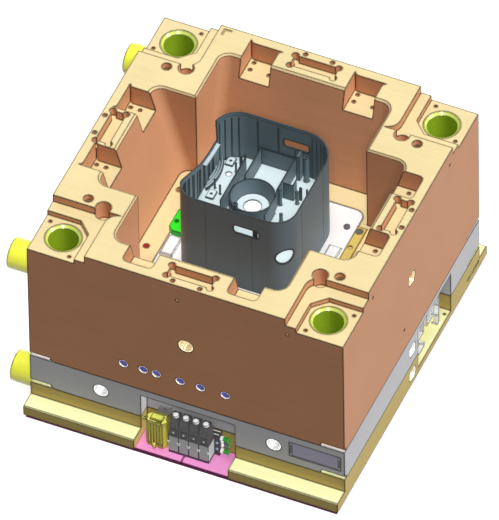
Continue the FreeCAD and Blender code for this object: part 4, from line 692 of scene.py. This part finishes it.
@dataclass
class HousingDetails(Details):
    """Ribs, lip, studs, linings, sill and witness lines of the moulded housing; the pale sill is painted
    light, and the dark pieces are painted shade.
    """

    # The inside of the walls, with the radii of its corners.
    left: float = -160.5
    right: float = 162.5
    front: float = -147.5
    back: float = 182.5
    floor: float = 473.0
    rim: float = 644.0
    front_round: float = 56.5
    back_left_round: float = 68.5
    back_right_round: float = 84.5
    # The outside.
    foot: float = 356.0
    outer_front: float = -151.0
    outer_right: float = 166.0
    # The lip, which leaves out the dip of the left wall.
    lip_drop: float = 10.0
    lip_thick: float = 1.6
    lip_tall: float = 1.2
    lip_start_y: float = -92.0
    lip_end_angle: float = 176.0
    # Upright ribs, as wide and deep as given, and the fall of the rim into the dip.
    rib_gap: float = 8.0
    wide_rib: Flat = (7.0, 5.0)
    wide_ribs_x: Flat = (-66.0, -7.0)
    slim_rib: Flat = (3.0, 4.0)
    slim_ribs_x: Flat = (40.0, 57.0)
    slim_gap: float = 4.0
    dip_rib: Flat = (5.0, 4.0)
    dip_ribs_y: tuple[float, ...] = (-84, -76, -60, -52, -30, -22, 0, 12, 20, 40, 48, 70, 78, 96, 104)
    dip_start_y: float = -110.0
    dip_long: float = 135.0
    dip_deep: float = 66.0
    dip_gap: float = 16.0
    # Curved ribs of the floor, as radius and half angle, in the pale sill colour of painted light, with dark
    # steps of painted shade beside them.
    arc_middle: Flat = (-281.6, 90.5)
    arc_ribs: tuple[Flat, ...] = ((127.5, 11), (134, 19), (140.5, 24))
    arc_thick: float = 2.6
    arc_rib_tall: float = 16.0
    arc_shade_step_out: float = 3.2
    arc_shade_step_tall: float = 11.0
    sunk: float = 0.2
    # Studs, as x, y, diameter and height.
    studs: tuple[tuple[float, ...], ...] = ((-91, 127, 9, 62), (-88, 146, 7, 50), (91.5, 99, 9, 44),
                                            (104, 112, 6, 30))
    sill_path: tuple[Point, ...] = ((-155.0, 36, 563), (-154.5, 84, 558), (-153.5, 126, 558))
    sill_wide: float = 12.0
    sill_tall: float = 3.0
    # The slots in the front and back walls, their dark linings of painted shade, and the plate behind the
    # front one.
    slot_left: float = 7.0
    slot_right: float = 82.0
    slot_low: float = 563.0
    slot_high: float = 593.0
    slot_round: float = 10.0
    shade_strip_in: float = 1.3
    shade_strip_thick: float = 2.4
    shade_strip_deep: float = 3.6
    shade_strip_fronts: Flat = (-150.9, 182.3)
    plate_low: Point = (61.0, -146.5, 558.0)
    plate_high: Point = (75.0, -143.5, 599.0)
    # The hole in the round front right corner, and the dark lining of painted shade that follows its bend.
    hole_middle: Point = (148.43, -133.43, 508.0)
    hole_radius: float = 26.9
    hole_bend: float = 60.0
    hole_shade_strip: float = 2.6
    hole_reach: Flat = (-4.2, 0.2)
    # Witness lines of the front and of the right side.
    line_half: float = 0.5
    line_proud: float = 0.35
    line_sunk: float = 0.3
    front_lines_x: Flat = (-71.0, 60.0)
    right_lines_y: Flat = (-63.0, 76.0)

    def corner(self, name: str) -> tuple[Flat, float]:
        """The middle and the radius of a round corner of the walls' inside.

        Args:
            name: Which corner.

        Returns:
            The middle, and the radius.
        """
        radius = {"back_left": self.back_left_round, "back_right": self.back_right_round}.get(
            name, self.front_round)
        x = self.left + radius if name.endswith("left") else self.right - radius
        y = self.front + radius if name.startswith("front") else self.back - radius
        return (x, y), radius

    def posts_at(self, places: list[Flat], size: Point) -> list[Spot]:
        """Posts of one width, depth and height that stand on the floor."""
        return [Spot((x, y, self.floor), size=size) for x, y in places]

    def wall_ribs(self) -> list[Spot]:
        """Upright ribs on the walls, as far apart as in the picture."""
        tall = self.rim - self.lip_drop - self.rib_gap - self.floor
        spots = self.posts_at([(x, self.back) for x in self.wide_ribs_x], (*self.wide_rib, tall))
        spots += self.posts_at([(x, self.back) for x in self.slim_ribs_x],
                               (*self.slim_rib, self.slot_low - self.slim_gap - self.floor))
        # Each corner with its first and last angle, the gaps between its ribs, their width, and what
        # they are shorter by.
        for name, start, end, gaps, wide, less in (
            ("back_left", 112, 160, 3, 5.0, 0.0), ("back_right", 30, 82, 5, 4.0, 0.0),
            ("front_left", 180, 225, 4, 5.0, 12.0),
        ):
            spots += self.posts_at(arc(*self.corner(name), start, end, gaps), (wide, wide, tall - less))
        for y in self.dip_ribs_y:
            fall = self.dip_deep * min(1.0, (y - self.dip_start_y) / self.dip_long)
            spots += self.posts_at([(self.left, y)],
                                   (*self.dip_rib, self.rim - fall - self.dip_gap - self.floor))
        return spots

    def lip_path(self) -> list[Point]:
        """The inside of the wall from the dip's front end round to its back end."""
        flat = [(self.left, self.lip_start_y)]
        for name, start, end in (("front_left", 180, 270), ("front_right", 270, 360), ("back_right", 0, 90),
                                 ("back_left", 90, self.lip_end_angle)):
            flat += arc(*self.corner(name), start, end)
        return [(x, y, self.rim - self.lip_drop) for x, y in flat]

    def build(self) -> None:
        """Make the housing's small pieces."""
        posts = self.workshop.posts
        posts.run("housing_wall_ribs", self.wall_ribs(), Plastic.SHADED_MOULDING, "grey_moulding", sides=8)
        self.strip("housing_lip", [self.lip_path()], self.lip_thick, self.lip_tall, Plastic.SHADED_MOULDING)
        # The ribs take the painted light of the sill, and the dark steps beside them are painted shade.
        for name, out, tall, finish in (
            ("housing_floor_ribs", 0.0, self.arc_rib_tall, Plastic.LIT_SILL),
            ("housing_floor_painted_shade_steps", self.arc_shade_step_out, self.arc_shade_step_tall, Plastic.SHADED_MOULDING),
        ):
            paths = [[(x, y, self.floor - self.sunk) for x, y in
                      arc(self.arc_middle, radius + out, -half, half, 16)] for radius, half in self.arc_ribs]
            self.strip(name, paths, self.arc_thick, tall, finish)
        self.openings()
        studs = [Spot((x, y, self.floor), size=(wide, wide, tall)) for x, y, wide, tall in self.studs]
        posts.run("housing_studs", studs, Plastic.SHADED_MOULDING, "grey_moulding", sides=20)
        self.strip("housing_sill", [self.sill_path], self.sill_wide, self.sill_tall, Plastic.LIT_SILL)
        self.witness_lines()

    def strip(self, name: str, paths: list[list[Point]], thick: float, tall: float, finish: Plastic) -> None:
        """Make one piece of upright strips.

        Args:
            name: The piece's name.
            paths: The path of each strip.
            thick: Their thickness.
            tall: Their height.
            finish: The piece's finish.
        """
        mesh = bmesh.new()
        for path in paths:
            sweep(mesh, path, thick, (0.0, 0.0, tall))
        self.workshop.piece(name, mesh, finish, "grey_moulding")

    def witness_lines(self) -> None:
        """Thin lines down the outside, broken where a slot is."""
        lines = bmesh.new()
        half, low, high = self.line_half, self.foot, self.rim - 1
        plain, slotted = self.front_lines_x
        proud, sunk = self.outer_front - self.line_proud, self.outer_front + self.line_sunk
        for x, start, end in ((plain, low, high), (slotted, low, self.slot_low),
                              (slotted, self.slot_high, high)):
            block(lines, (x - half, proud, start), (x + half, sunk, end), 0.1)
        sunk, proud = self.outer_right - self.line_sunk, self.outer_right + self.line_proud
        for y in self.right_lines_y:
            block(lines, (sunk, y - half, low), (proud, y + half, high), 0.1)
        self.workshop.piece("housing_witness_lines", lines, Plastic.SHADED_MOULDING, "grey_moulding")

    def openings(self) -> None:
        """Painted shade: dark linings in the two slots and the corner hole, and the plate behind the front
        slot.
        """
        mesh = bmesh.new()
        r = self.slot_round
        left, right = self.slot_left + r, self.slot_right - r
        low, high = self.slot_low + r, self.slot_high - r
        corners = ((right, low, -90), (right, high, 0), (left, high, 90), (left, low, 180))
        outline = [point for x, z, turn in corners
                   for point in arc((x, z), r - self.shade_strip_in, turn, turn + 90, 5)]
        for y in self.shade_strip_fronts:
            path = [(x, y, z) for x, z in outline]
            sweep(mesh, path, self.shade_strip_thick, (0, self.shade_strip_deep, 0), closed=True)
        block(mesh, self.plate_low, self.plate_high, 0.5)
        side, away = Vector((1, 1, 0)).normalized(), Vector((1, -1, 0)).normalized()
        edge, inner = self.hole_radius, self.hole_radius - self.hole_shade_strip
        back, front = self.hole_reach
        rows = []
        for i in range(48):
            angle = math.tau * i / 48
            row = []
            for radius, off in ((inner, back), (edge, back), (edge, front), (inner, front)):
                across = radius * math.cos(angle)
                deep = self.hole_bend - math.sqrt(self.hole_bend ** 2 - across ** 2)
                spot = Vector(self.hole_middle) + side * across + away * (off - deep)
                row.append(mesh.verts.new(spot + Vector((0, 0, radius * math.sin(angle)))))
            rows.append(row)
        skin(mesh, rows)
        self.workshop.piece("housing_painted_shade_linings", mesh, Plastic.SHADED_MOULDING, "grey_moulding")


@dataclass
class IslandDetails(Details):
    """Bezels, clips, air bar, labels and sleeves of the valve island in the front bay."""

    left: float = -45.0
    pitch: float = 28.75
    valves: int = 4
    front: float = -472.0
    floor: float = 12.0
    body_top: float = 76.0
    cap_top: float = 139.0
    cap_taper: float = 6.0
    # What stands on the sloping front of each cap; the vents are given as x and height.
    bezel_half: float = 8.5
    bezel_heights: Flat = (81.0, 101.0)
    bezel_out: float = 0.8
    bezel_thick: float = 2.4
    bezel_proud: float = 2.0
    seat: float = 1.0
    screw_z: float = 91.0
    screw_size: Point = (5.5, 5.5, 2.4)
    vents: tuple[Flat, Flat] = ((-5.0, 110.0), (5.0, 115.0))
    vent_size: Point = (3.5, 3.5, 1.5)
    # A gasket in each seam; a double clip, as height and half width, across it.
    gasket_half: float = 1.7
    gasket_low: float = 20.5
    gasket_reach: Flat = (-0.6, 4.0)
    clips: tuple[Flat, Flat] = ((48.0, 3.0), (53.5, 4.5))
    clip_tall: float = 2.6
    clip_reach: Flat = (-1.6, 0.2)
    # The air bar with its fittings, each given as y and height.
    bar_right: float = 85.0
    bar_front: float = -435.0
    bar_back: float = -414.0
    bar_top: float = 88.0
    fittings: tuple[Flat, ...] = ((-427, 26), (-421, 42), (-421, 58), (-427, 74))
    fitting: tuple[Flat, ...] = ((3, 0), (5, 0), (5, 6), (6, 7), (6, 14), (5.4, 15), (5.4, 17), (6, 18),
                                 (6, 23), (5, 24), (3, 24))
    labels_x: Flat = (21.0, 82.0)
    labels_y: Flat = (-431.0, -419.0)
    label_half: float = 1.4
    label_reach: Flat = (-2.2, 0.4)
    blank_x: float = 78.0
    blanks_z: Flat = (61.0, 38.0)
    blank_in: float = 0.5
    blank_size: Point = (6.5, 6.5, 2.5)
    collar: Coil = Coil(5.6, 1.4, 2.6, 3)
    sleeve: Coil = Coil(6.2, 1.3, 2.4, 6)
    sleeve_out: float = 9.0

    def front_at(self, z: float) -> float:
        """Where the sloping front of a cap lies at a height."""
        return self.front + self.cap_taper * (z - self.body_top) / (self.cap_top - self.body_top)

    def build(self) -> None:
        """Make the island's small pieces."""
        posts = self.workshop.posts
        middles = [self.left + self.pitch * (i + 0.5) for i in range(self.valves)]
        mesh = bmesh.new()
        half, (low, high) = self.bezel_half, self.bezel_heights
        for x in middles:
            corners = ((x - half, low), (x + half, low), (x + half, high), (x - half, high))
            path = [(a, self.front_at(z) + self.bezel_out, z) for a, z in corners]
            sweep(mesh, path, self.bezel_thick, (0, -self.bezel_proud, 0), closed=True)
        self.workshop.piece("cap_bezels", mesh, Plastic.SMOOTH_BLACK, "black_plastic")
        dots = [Spot((x, self.front_at(self.screw_z) + self.seat, self.screw_z), FORWARD, self.screw_size)
                for x in middles]
        posts.run("bezel_screws", dots, Steel.BARE, "grey_metal", sides=16)
        face = self.front_at(self.vents[0][1]) + self.seat
        vents = [Spot((x + aside, face, z), FORWARD, self.vent_size)
                 for x in middles for aside, z in self.vents]
        posts.run("cap_vents", vents, Plastic.BLACK, "black_plastic", sides=12)
        self.seams()
        self.bar()

    def seams(self) -> None:
        """A dark gasket in each seam between the bodies, with a small double clip across each edge."""
        gaskets = bmesh.new()
        clips = bmesh.new()
        for i in range(self.valves + 1):
            x = self.left + self.pitch * i
            if 0 < i < self.valves:
                near, far = (self.front + reach for reach in self.gasket_reach)
                block(gaskets, (x - self.gasket_half, near, self.gasket_low),
                      (x + self.gasket_half, far, self.body_top), 0.2)
            near, far = (self.front + reach for reach in self.clip_reach)
            for z, wide in self.clips:
                block(clips, (x - wide, near, z), (x + wide, far, z + self.clip_tall), 0.5)
        self.workshop.piece("body_gaskets", gaskets, Plastic.SMOOTH_BLACK, "black_plastic")
        self.workshop.piece("body_clips", clips, Plastic.COLLAR, "white_plastic")

    def bar(self) -> None:
        """The air bar with its fittings, label strips, blanking dots, collars and sleeves."""
        shop = self.workshop
        body = bmesh.new()
        block(body, (self.left, self.bar_front, self.floor),
              (self.bar_right, self.bar_back, self.bar_top), 1.0)
        shop.piece("air_bar", body, Plastic.BLACK, "black_plastic", instead_of="air_end_block")
        rings = bmesh.new()
        for y, z in self.fittings:
            turned(rings, self.fitting, (self.bar_right, y, z), RIGHT)
        shop.piece("air_fittings", rings, Plastic.GREEN, "green_plastic", instead_of="push_fittings")
        labels = bmesh.new()
        (left, right), half = self.labels_x, self.label_half
        low, high = (self.bar_top + reach for reach in self.label_reach)
        for y in self.labels_y:
            block(labels, (left, y - half, low), (right, y + half, high), 0.3)
        shop.piece("bar_labels", labels, Plastic.COLLAR, "white_plastic")
        blanks = [Spot((self.blank_x, self.bar_front + self.blank_in, z), FORWARD, self.blank_size)
                  for z in self.blanks_z]
        shop.posts.run("bar_blanks", blanks, Plastic.PALE_BLUE, "white_plastic", sides=20)
        collars = [Spot((self.bar_right + self.collar.wire, y, z), RIGHT) for y, z in self.fittings]
        shop.coils.run("fitting_collars", collars, Plastic.COLLAR, "white_plastic", **asdict(self.collar))
        sleeves = [Spot((self.bar_right + self.sleeve_out, y, z), RIGHT) for y, z in self.fittings[1:3]]
        shop.coils.run("fitting_sleeves", sleeves, Plastic.GREY, "grey_plastic", **asdict(self.sleeve))


@dataclass
class CableConnector(Details):
    """The upright ribbed connector at the left of the bay, and the shelf with one hole behind it."""

    left: float = -114.0
    right: float = -54.0
    front: float = -470.0
    back: float = -437.0
    floor: float = 12.0
    top: float = 107.0
    corner: float = 9.0
    groove_wide: float = 4.4
    groove_deep: float = 9.0
    grooves: int = 5
    plain: float = 10.0
    # The cap on top, and the eyelets round it and on the front.
    cap_in: Flat = (13.0, 6.0)
    cap_tall: float = 6.0
    eyelet: tuple[Flat, ...] = ((3, 0), (7, 0), (7, 6), (3, 6))
    eyelets: tuple[Flat, ...] = ((-116.0, -461.0), (-54.0, -446.0), (-74.0, -469.0))
    front_eyelet: Point = (-68.0, -469.0, 33.0)
    # The cable's short stub points down and forwards.
    stub: tuple[Flat, ...] = ((1.5, 0), (5, 0), (5, 9), (4, 9), (4, 15), (1.5, 15))
    stub_at: Point = (-90.0, -471.0, 26.0)
    stub_towards: Point = (0.55, -0.6, -0.45)
    # The shelf.
    shelf_x: float = -75.0
    shelf_half: float = 17.0
    shelf_front: float = -436.0
    wall: float = -413.0
    shelf_top: float = 113.0
    shelf_thick: float = 6.0
    shelf_lip: Flat = (3.0, 6.0)
    hole_radius: float = 6.0

    def outline(self, grooved: bool) -> list[Flat]:
        """The plan of the connector.

        Args:
            grooved: Whether the grooves are cut into its front and right sides.

        Returns:
            Its corners in order.
        """
        c, half, deep = self.corner, self.groove_wide / 2, self.groove_deep
        start, end = self.left + c, self.right - c
        points = [(start, self.front)]
        if grooved:
            for i in range(self.grooves):
                x = start + (end - start) * (i + 0.5) / self.grooves
                points += [(x - half, self.front), (x - half, self.front + deep),
                           (x + half, self.front + deep), (x + half, self.front)]
        points += [(end, self.front), (self.right, self.front + c)]
        if grooved:
            y = (self.front + self.back) / 2
            points += [(self.right, y - half), (self.right - deep, y - half),
                       (self.right - deep, y + half), (self.right, y + half)]
        points += [(self.right, self.back - c), (end, self.back), (start, self.back),
                   (self.left, self.back - c), (self.left, self.front + c)]
        return points

    def build(self) -> None:
        """Make the connector and the shelf."""
        mesh = bmesh.new()
        heights = (self.floor, self.floor + self.plain, self.top - self.plain, self.top)
        for low, high, grooved in zip(heights, heights[1:], (False, True, False)):
            upright(mesh, self.outline(grooved), low, high)
        aside, deep = self.cap_in
        block(mesh, (self.left + aside, self.front + deep, self.top - 1),
              (self.right - aside, self.back - deep, self.top + self.cap_tall), 1.5)
        for x, y in self.eyelets:
            turned(mesh, self.eyelet, (x, y, self.top - self.cap_tall), UP, 24)
        turned(mesh, self.stub, self.stub_at, self.stub_towards, 24)
        turned(mesh, self.eyelet, self.front_eyelet, FORWARD, 24)
        self.workshop.piece("cable_connector", mesh, Plastic.YELLOW, "yellow_plastic",
                            instead_of="ribbed_connector")
        self.shelf()

    def shelf(self) -> None:
        """A level plate with a hole and a lip, on the back wall of the bay."""
        mesh = bmesh.new()
        middle, deep = (self.wall + self.shelf_front) / 2, (self.wall - self.shelf_front) / 2
        low, high = self.shelf_top - self.shelf_thick, self.shelf_top
        rows = []
        for i in range(32):
            angle = math.tau * i / 32
            x, y = math.cos(angle), math.sin(angle)
            reach = max(abs(x), abs(y))
            rim = (self.shelf_x + x / reach * self.shelf_half, middle + y / reach * deep)
            edge = (self.shelf_x + x * self.hole_radius, middle + y * self.hole_radius)
            rows.append([mesh.verts.new((*spot, z)) for spot, z in
                         ((edge, low), (rim, low), (rim, high), (edge, high))])
        skin(mesh, rows)
        right = self.shelf_x + self.shelf_half
        wide, tall = self.shelf_lip
        block(mesh, (right - wide, self.shelf_front, low), (right, self.wall, high + tall))
        self.workshop.piece("cable_shelf", mesh, Steel.BARE, "grey_metal", instead_of="cable_bracket")


@dataclass
class NamePlate(Details):
    """The dark border round the etched plate in the frame plate's front."""

    left: float = 292.0
    right: float = 438.0
    low: float = 119.0
    high: float = 171.0
    face: float = -448.5
    end_wide: float = 9.0
    side_wide: float = 3.0
    gap: float = 0.2
    border_reach: Flat = (-0.6, 0.4)
    rivet_in: Flat = (4.5, 7.0)
    rivet_out: float = 0.3
    rivet_size: Point = (4.0, 4.0, 1.2)

    def build(self) -> None:
        """Make the border and its four rivets."""
        mesh = bmesh.new()
        near, far = (self.face + reach for reach in self.border_reach)
        start, end = self.left + self.end_wide, self.right - self.end_wide
        gap = self.gap
        for x0, x1, z0, z1 in (
            (self.left, start, self.low, self.high), (end, self.right, self.low, self.high),
            (start, end, self.low, self.low + self.side_wide),
            (start, end, self.high - self.side_wide, self.high),
        ):
            block(mesh, (x0 + gap, near, z0 + gap), (x1 - gap, far, z1 - gap), 0.2)
        self.workshop.piece("name_plate_border", mesh, Plastic.BLACK, "black_plastic")
        aside, up = self.rivet_in
        spots = [Spot((x, self.face - self.rivet_out, z), FORWARD, self.rivet_size)
                 for x in (self.left + aside, self.right - aside) for z in (self.low + up, self.high - up)]
        self.workshop.posts.run("name_plate_rivets", spots, Steel.BARE, "grey_metal", sides=16)


@dataclass
class SocketDetails(Details):
    """Contact blocks, ridges and cable hooks of the two sockets in the right bay."""

    fronts: Flat = (58.0, 158.0)
    long: float = 80.0
    low: float = 61.0
    high: float = 123.0
    face: float = 424.0
    pocket: float = 404.0
    # The contact block's margins and reach, and its rows of pins with a ridge below each.
    block_in: Flat = (10.0, 12.0)
    block_reach: Flat = (-0.5, 13.0)
    pin_rows: tuple[float, float, float] = (21.0, 31.0, 41.0)
    ridge_in: float = 4.0
    ridge_x: Flat = (-2.0, -0.5)
    ridge_z: Flat = (-7.0, -5.4)
    pin_x: float = 12.8
    pin_start: float = 16.0
    pin_pitch: float = 8.0
    pins: int = 7
    pin_size: Point = (3.0, 3.0, 1.6)
    # The hooks: two hang, as y, top and the height where they curl, and one stands.
    hook_thick: float = 4.0
    hook_out: float = 15.0
    hook_round: float = 8.0
    hanging: tuple[Point, Point] = ((206.0, 101.0, 78.0), (206.0, 66.0, 44.0))
    standing_from: Flat = (70.0, 44.0)
    standing_curl: Flat = (100.0, 52.0)

    def build(self) -> None:
        """Make the sockets' small pieces."""
        shop = self.workshop
        blocks = bmesh.new()
        pins = []
        aside, up = self.block_in
        for front in self.fronts:
            back = front + self.long
            near, far = (self.pocket + reach for reach in self.block_reach)
            block(blocks, (near, front + aside, self.low + up), (far, back - aside, self.high - up), 1.5)
            near, far = (self.face + x for x in self.ridge_x)
            for row in self.pin_rows:
                z = self.low + row
                low, high = (z + edge for edge in self.ridge_z)
                block(blocks, (near, front + self.ridge_in, low), (far, back - self.ridge_in, high), 0.3)
                pins += [Spot((self.pocket + self.pin_x, front + self.pin_start + self.pin_pitch * k, z),
                              RIGHT, self.pin_size) for k in range(self.pins)]
        shop.piece("contact_blocks", blocks, Plastic.WHITE, "white_plastic")
        shop.posts.run("contact_pins", pins, Plastic.BLACK, "black_plastic", sides=12)
        hooks = bmesh.new()
        paths = [[(y, top), *arc((y - self.hook_round, low), self.hook_round, 0, -200)]
                 for y, top, low in self.hanging]
        paths.append([self.standing_from, *arc(self.standing_curl, self.hook_round, -90, 120)])
        for path in paths:
            sweep(hooks, [(self.face - 0.5, y, z) for y, z in path], self.hook_thick, (self.hook_out, 0, 0))
        shop.piece("cable_hooks", hooks, Plastic.WHITE, "white_plastic")


@dataclass
class FloorDetails(Details):
    """Painted shadow: dark rings round the heads and the sockets of the pin and the screw on the pocket's
    floor.
    """

    pin: Point = (198.0, 155.0, 359.0)
    screw: Point = (236.0, 149.0, 360.0)
    head_radius: float = 9.0
    socket_radius: float = 4.4
    wide: float = 1.5
    sunk: float = 0.6
    proud: float = 0.4

    def build(self) -> None:
        """Make the rings."""
        rings = bmesh.new()
        for head in (self.pin, self.screw):
            for outer in (self.head_radius, self.socket_radius):
                inner = outer - self.wide
                section = [(inner, -self.sunk), (outer, -self.sunk), (outer, self.proud), (inner, self.proud)]
                turned(rings, section, head, UP)
        # The rings are painted shadow in the gaps round the heads and in their sockets.
        self.workshop.piece("floor_head_shadow_rings", rings, Steel.PAINTED_SHADOW_RING, "tool_steel")


@dataclass
class Studio:
    """The camera of the picture, the lamps, the world and the floor."""

    # The parallel projection that fits the picture: its angles in degrees, its scale, and the pixel
    # where the front left corner of the parting face lies.
    azimuth: float = 24.17881783
    elevation: float = 47.45574706
    roll: float = -1.0218573
    pixels_per_mm: float = 0.38302064
    corner_x_px: float = 26.04024213
    corner_y_px: float = 248.41238107
    corner_mm: Point = (-450.0, -450.0, 605.0)
    image_width: int = 499
    image_height: int = 520
    # A lens so long that it hardly converges; metres, and millimetres for the sensor.
    distance: float = 56.0
    sensor: float = 36.0
    clip_end: float = 400.0
    # The soft suns: the name, the direction to it or none for the camera's own, the strength, the
    # angle in degrees, and whether it throws shadows; a fill lamp doesn't.
    suns: tuple[tuple[str, Point | None, float, float, bool], ...] = (
        ("key", UP, 1.28, 20.0, True), ("front", None, 1.15, 12.0, True),
        ("side", (1.0, 0.0, 0.4), 2.4, 30.0, False), ("back", (-0.7, 0.6, 0.4), 0.8, 30.0, True),
    )
    sky_strength: float = 0.10
    # The floor: its half size in metres, its colour to the eye and to the light, and its glow.
    floor_half: float = 20.0
    floor_colour: str = "FAFAFA"
    floor_dim: str = "3C3C3C"
    floor_glow: float = 0.35

    def axes(self) -> tuple[Vector, Vector, Vector]:
        """The camera's right, up and backward directions."""
        a, e, r = (math.radians(v) for v in (self.azimuth, self.elevation, self.roll))
        right = Vector((math.cos(a), math.sin(a), 0))
        back = Vector((math.sin(a) * math.cos(e), -math.cos(a) * math.cos(e), math.sin(e)))
        up = back.cross(right)
        return right * math.cos(r) + up * math.sin(r), up * math.cos(r) - right * math.sin(r), back

    def camera(self) -> None:
        """A very long lens far away: the picture is a parallel projection."""
        right, up, back = self.axes()
        corner = Vector(self.corner_mm) * MM
        metres_per_px = MM / self.pixels_per_mm
        across = ((self.image_width - 1) / 2 - self.corner_x_px) * metres_per_px
        down = ((self.image_height - 1) / 2 - self.corner_y_px) * metres_per_px
        aim = corner + right * across - up * down
        data = bpy.data.cameras.new("camera")
        data.sensor_width = self.sensor
        long_side = max(self.image_width, self.image_height)
        data.lens = self.distance / (long_side * metres_per_px) * self.sensor
        data.clip_start = 1.0
        data.clip_end = self.clip_end
        camera = show("camera", data)
        turn = Matrix((right, up, back)).transposed().to_4x4()
        camera.matrix_world = Matrix.Translation(aim + back * self.distance) @ turn
        bpy.context.scene.camera = camera

    def lights(self) -> None:
        """Little light on the front, more on the right and the most on level faces, as in the picture."""
        for name, towards, strength, spread, shadow in self.suns:
            data = bpy.data.lights.new(name, "SUN")
            data.energy = strength
            data.angle = math.radians(spread)
            data.use_shadow = shadow
            lamp = show(name, data)
            lamp.rotation_mode = "QUATERNION"
            lamp.rotation_quaternion = Vector(towards or self.axes()[2]).to_track_quat("Z", "Y")

    def background_rays(self, tree: Tree) -> Socket:
        """One where the background is looked at, straight or in a reflection or through glass.

        Args:
            tree: The tree of the world or of the floor.

        Returns:
            A factor that is nought for the rays that carry light.
        """
        path = add(tree, "ShaderNodeLightPath").outputs
        mirrored = combine(tree, "MAXIMUM", path["Is Camera Ray"], path["Is Glossy Ray"])
        return combine(tree, "MAXIMUM", mirrored, path["Is Transmission Ray"])

    def world(self) -> None:
        """A white surround that gives only a low level of light."""
        world = bpy.data.worlds.new("world")
        bpy.context.scene.world = world
        tree = fresh_tree(world)
        level = remap(tree, self.background_rays(tree), (0.0, 1.0), (self.sky_strength, 1.0))
        shade = add(tree, "ShaderNodeBackground", {"Color": (1, 1, 1, 1), "Strength": level})
        add(tree, "ShaderNodeOutputWorld", {"Surface": shade.outputs["Background"]})

    def floor(self) -> None:
        """A pale floor that keeps the shadow and throws little light back on the sides."""
        mesh = bmesh.new()
        bmesh.ops.create_grid(mesh, x_segments=1, y_segments=1, size=self.floor_half)
        data = settle("floor", mesh)
        floor = show("floor", data)
        material = bpy.data.materials.new("pale_floor")
        tree = fresh_tree(material)
        seen = add(tree, "ShaderNodeBsdfDiffuse", {"Color": linear(self.floor_colour)})
        glow = add(tree, "ShaderNodeEmission", {"Color": (1, 1, 1, 1), "Strength": self.floor_glow})
        bright = add(tree, "ShaderNodeAddShader", {0: seen.outputs[0], 1: glow.outputs[0]})
        dim = add(tree, "ShaderNodeBsdfDiffuse", {"Color": linear(self.floor_dim)})
        mix = add(tree, "ShaderNodeMixShader", {
            0: self.background_rays(tree), 1: dim.outputs[0], 2: bright.outputs[0],
        })
        add(tree, "ShaderNodeOutputMaterial", {"Surface": mix.outputs[0]})
        data.materials.append(material)

    def build(self) -> None:
        """Set up everything that isn't the object."""
        bpy.context.scene.view_settings.view_transform = "Standard"
        self.camera()
        self.lights()
        self.world()
        self.floor()
        LOG.info("studio ready")


def main() -> None:
    """Build the studio, dress the nodes and add the pieces."""
    logging.basicConfig(level=logging.INFO, format="%(name)s: %(message)s")
    Studio().build()
    workshop = Workshop()
    workshop.dress_nodes()
    for details in (SideHoles, HousingDetails, IslandDetails, CableConnector, NamePlate, SocketDetails,
                    FloorDetails):
        details(workshop).build()


if __name__ == "__main__":
    main()
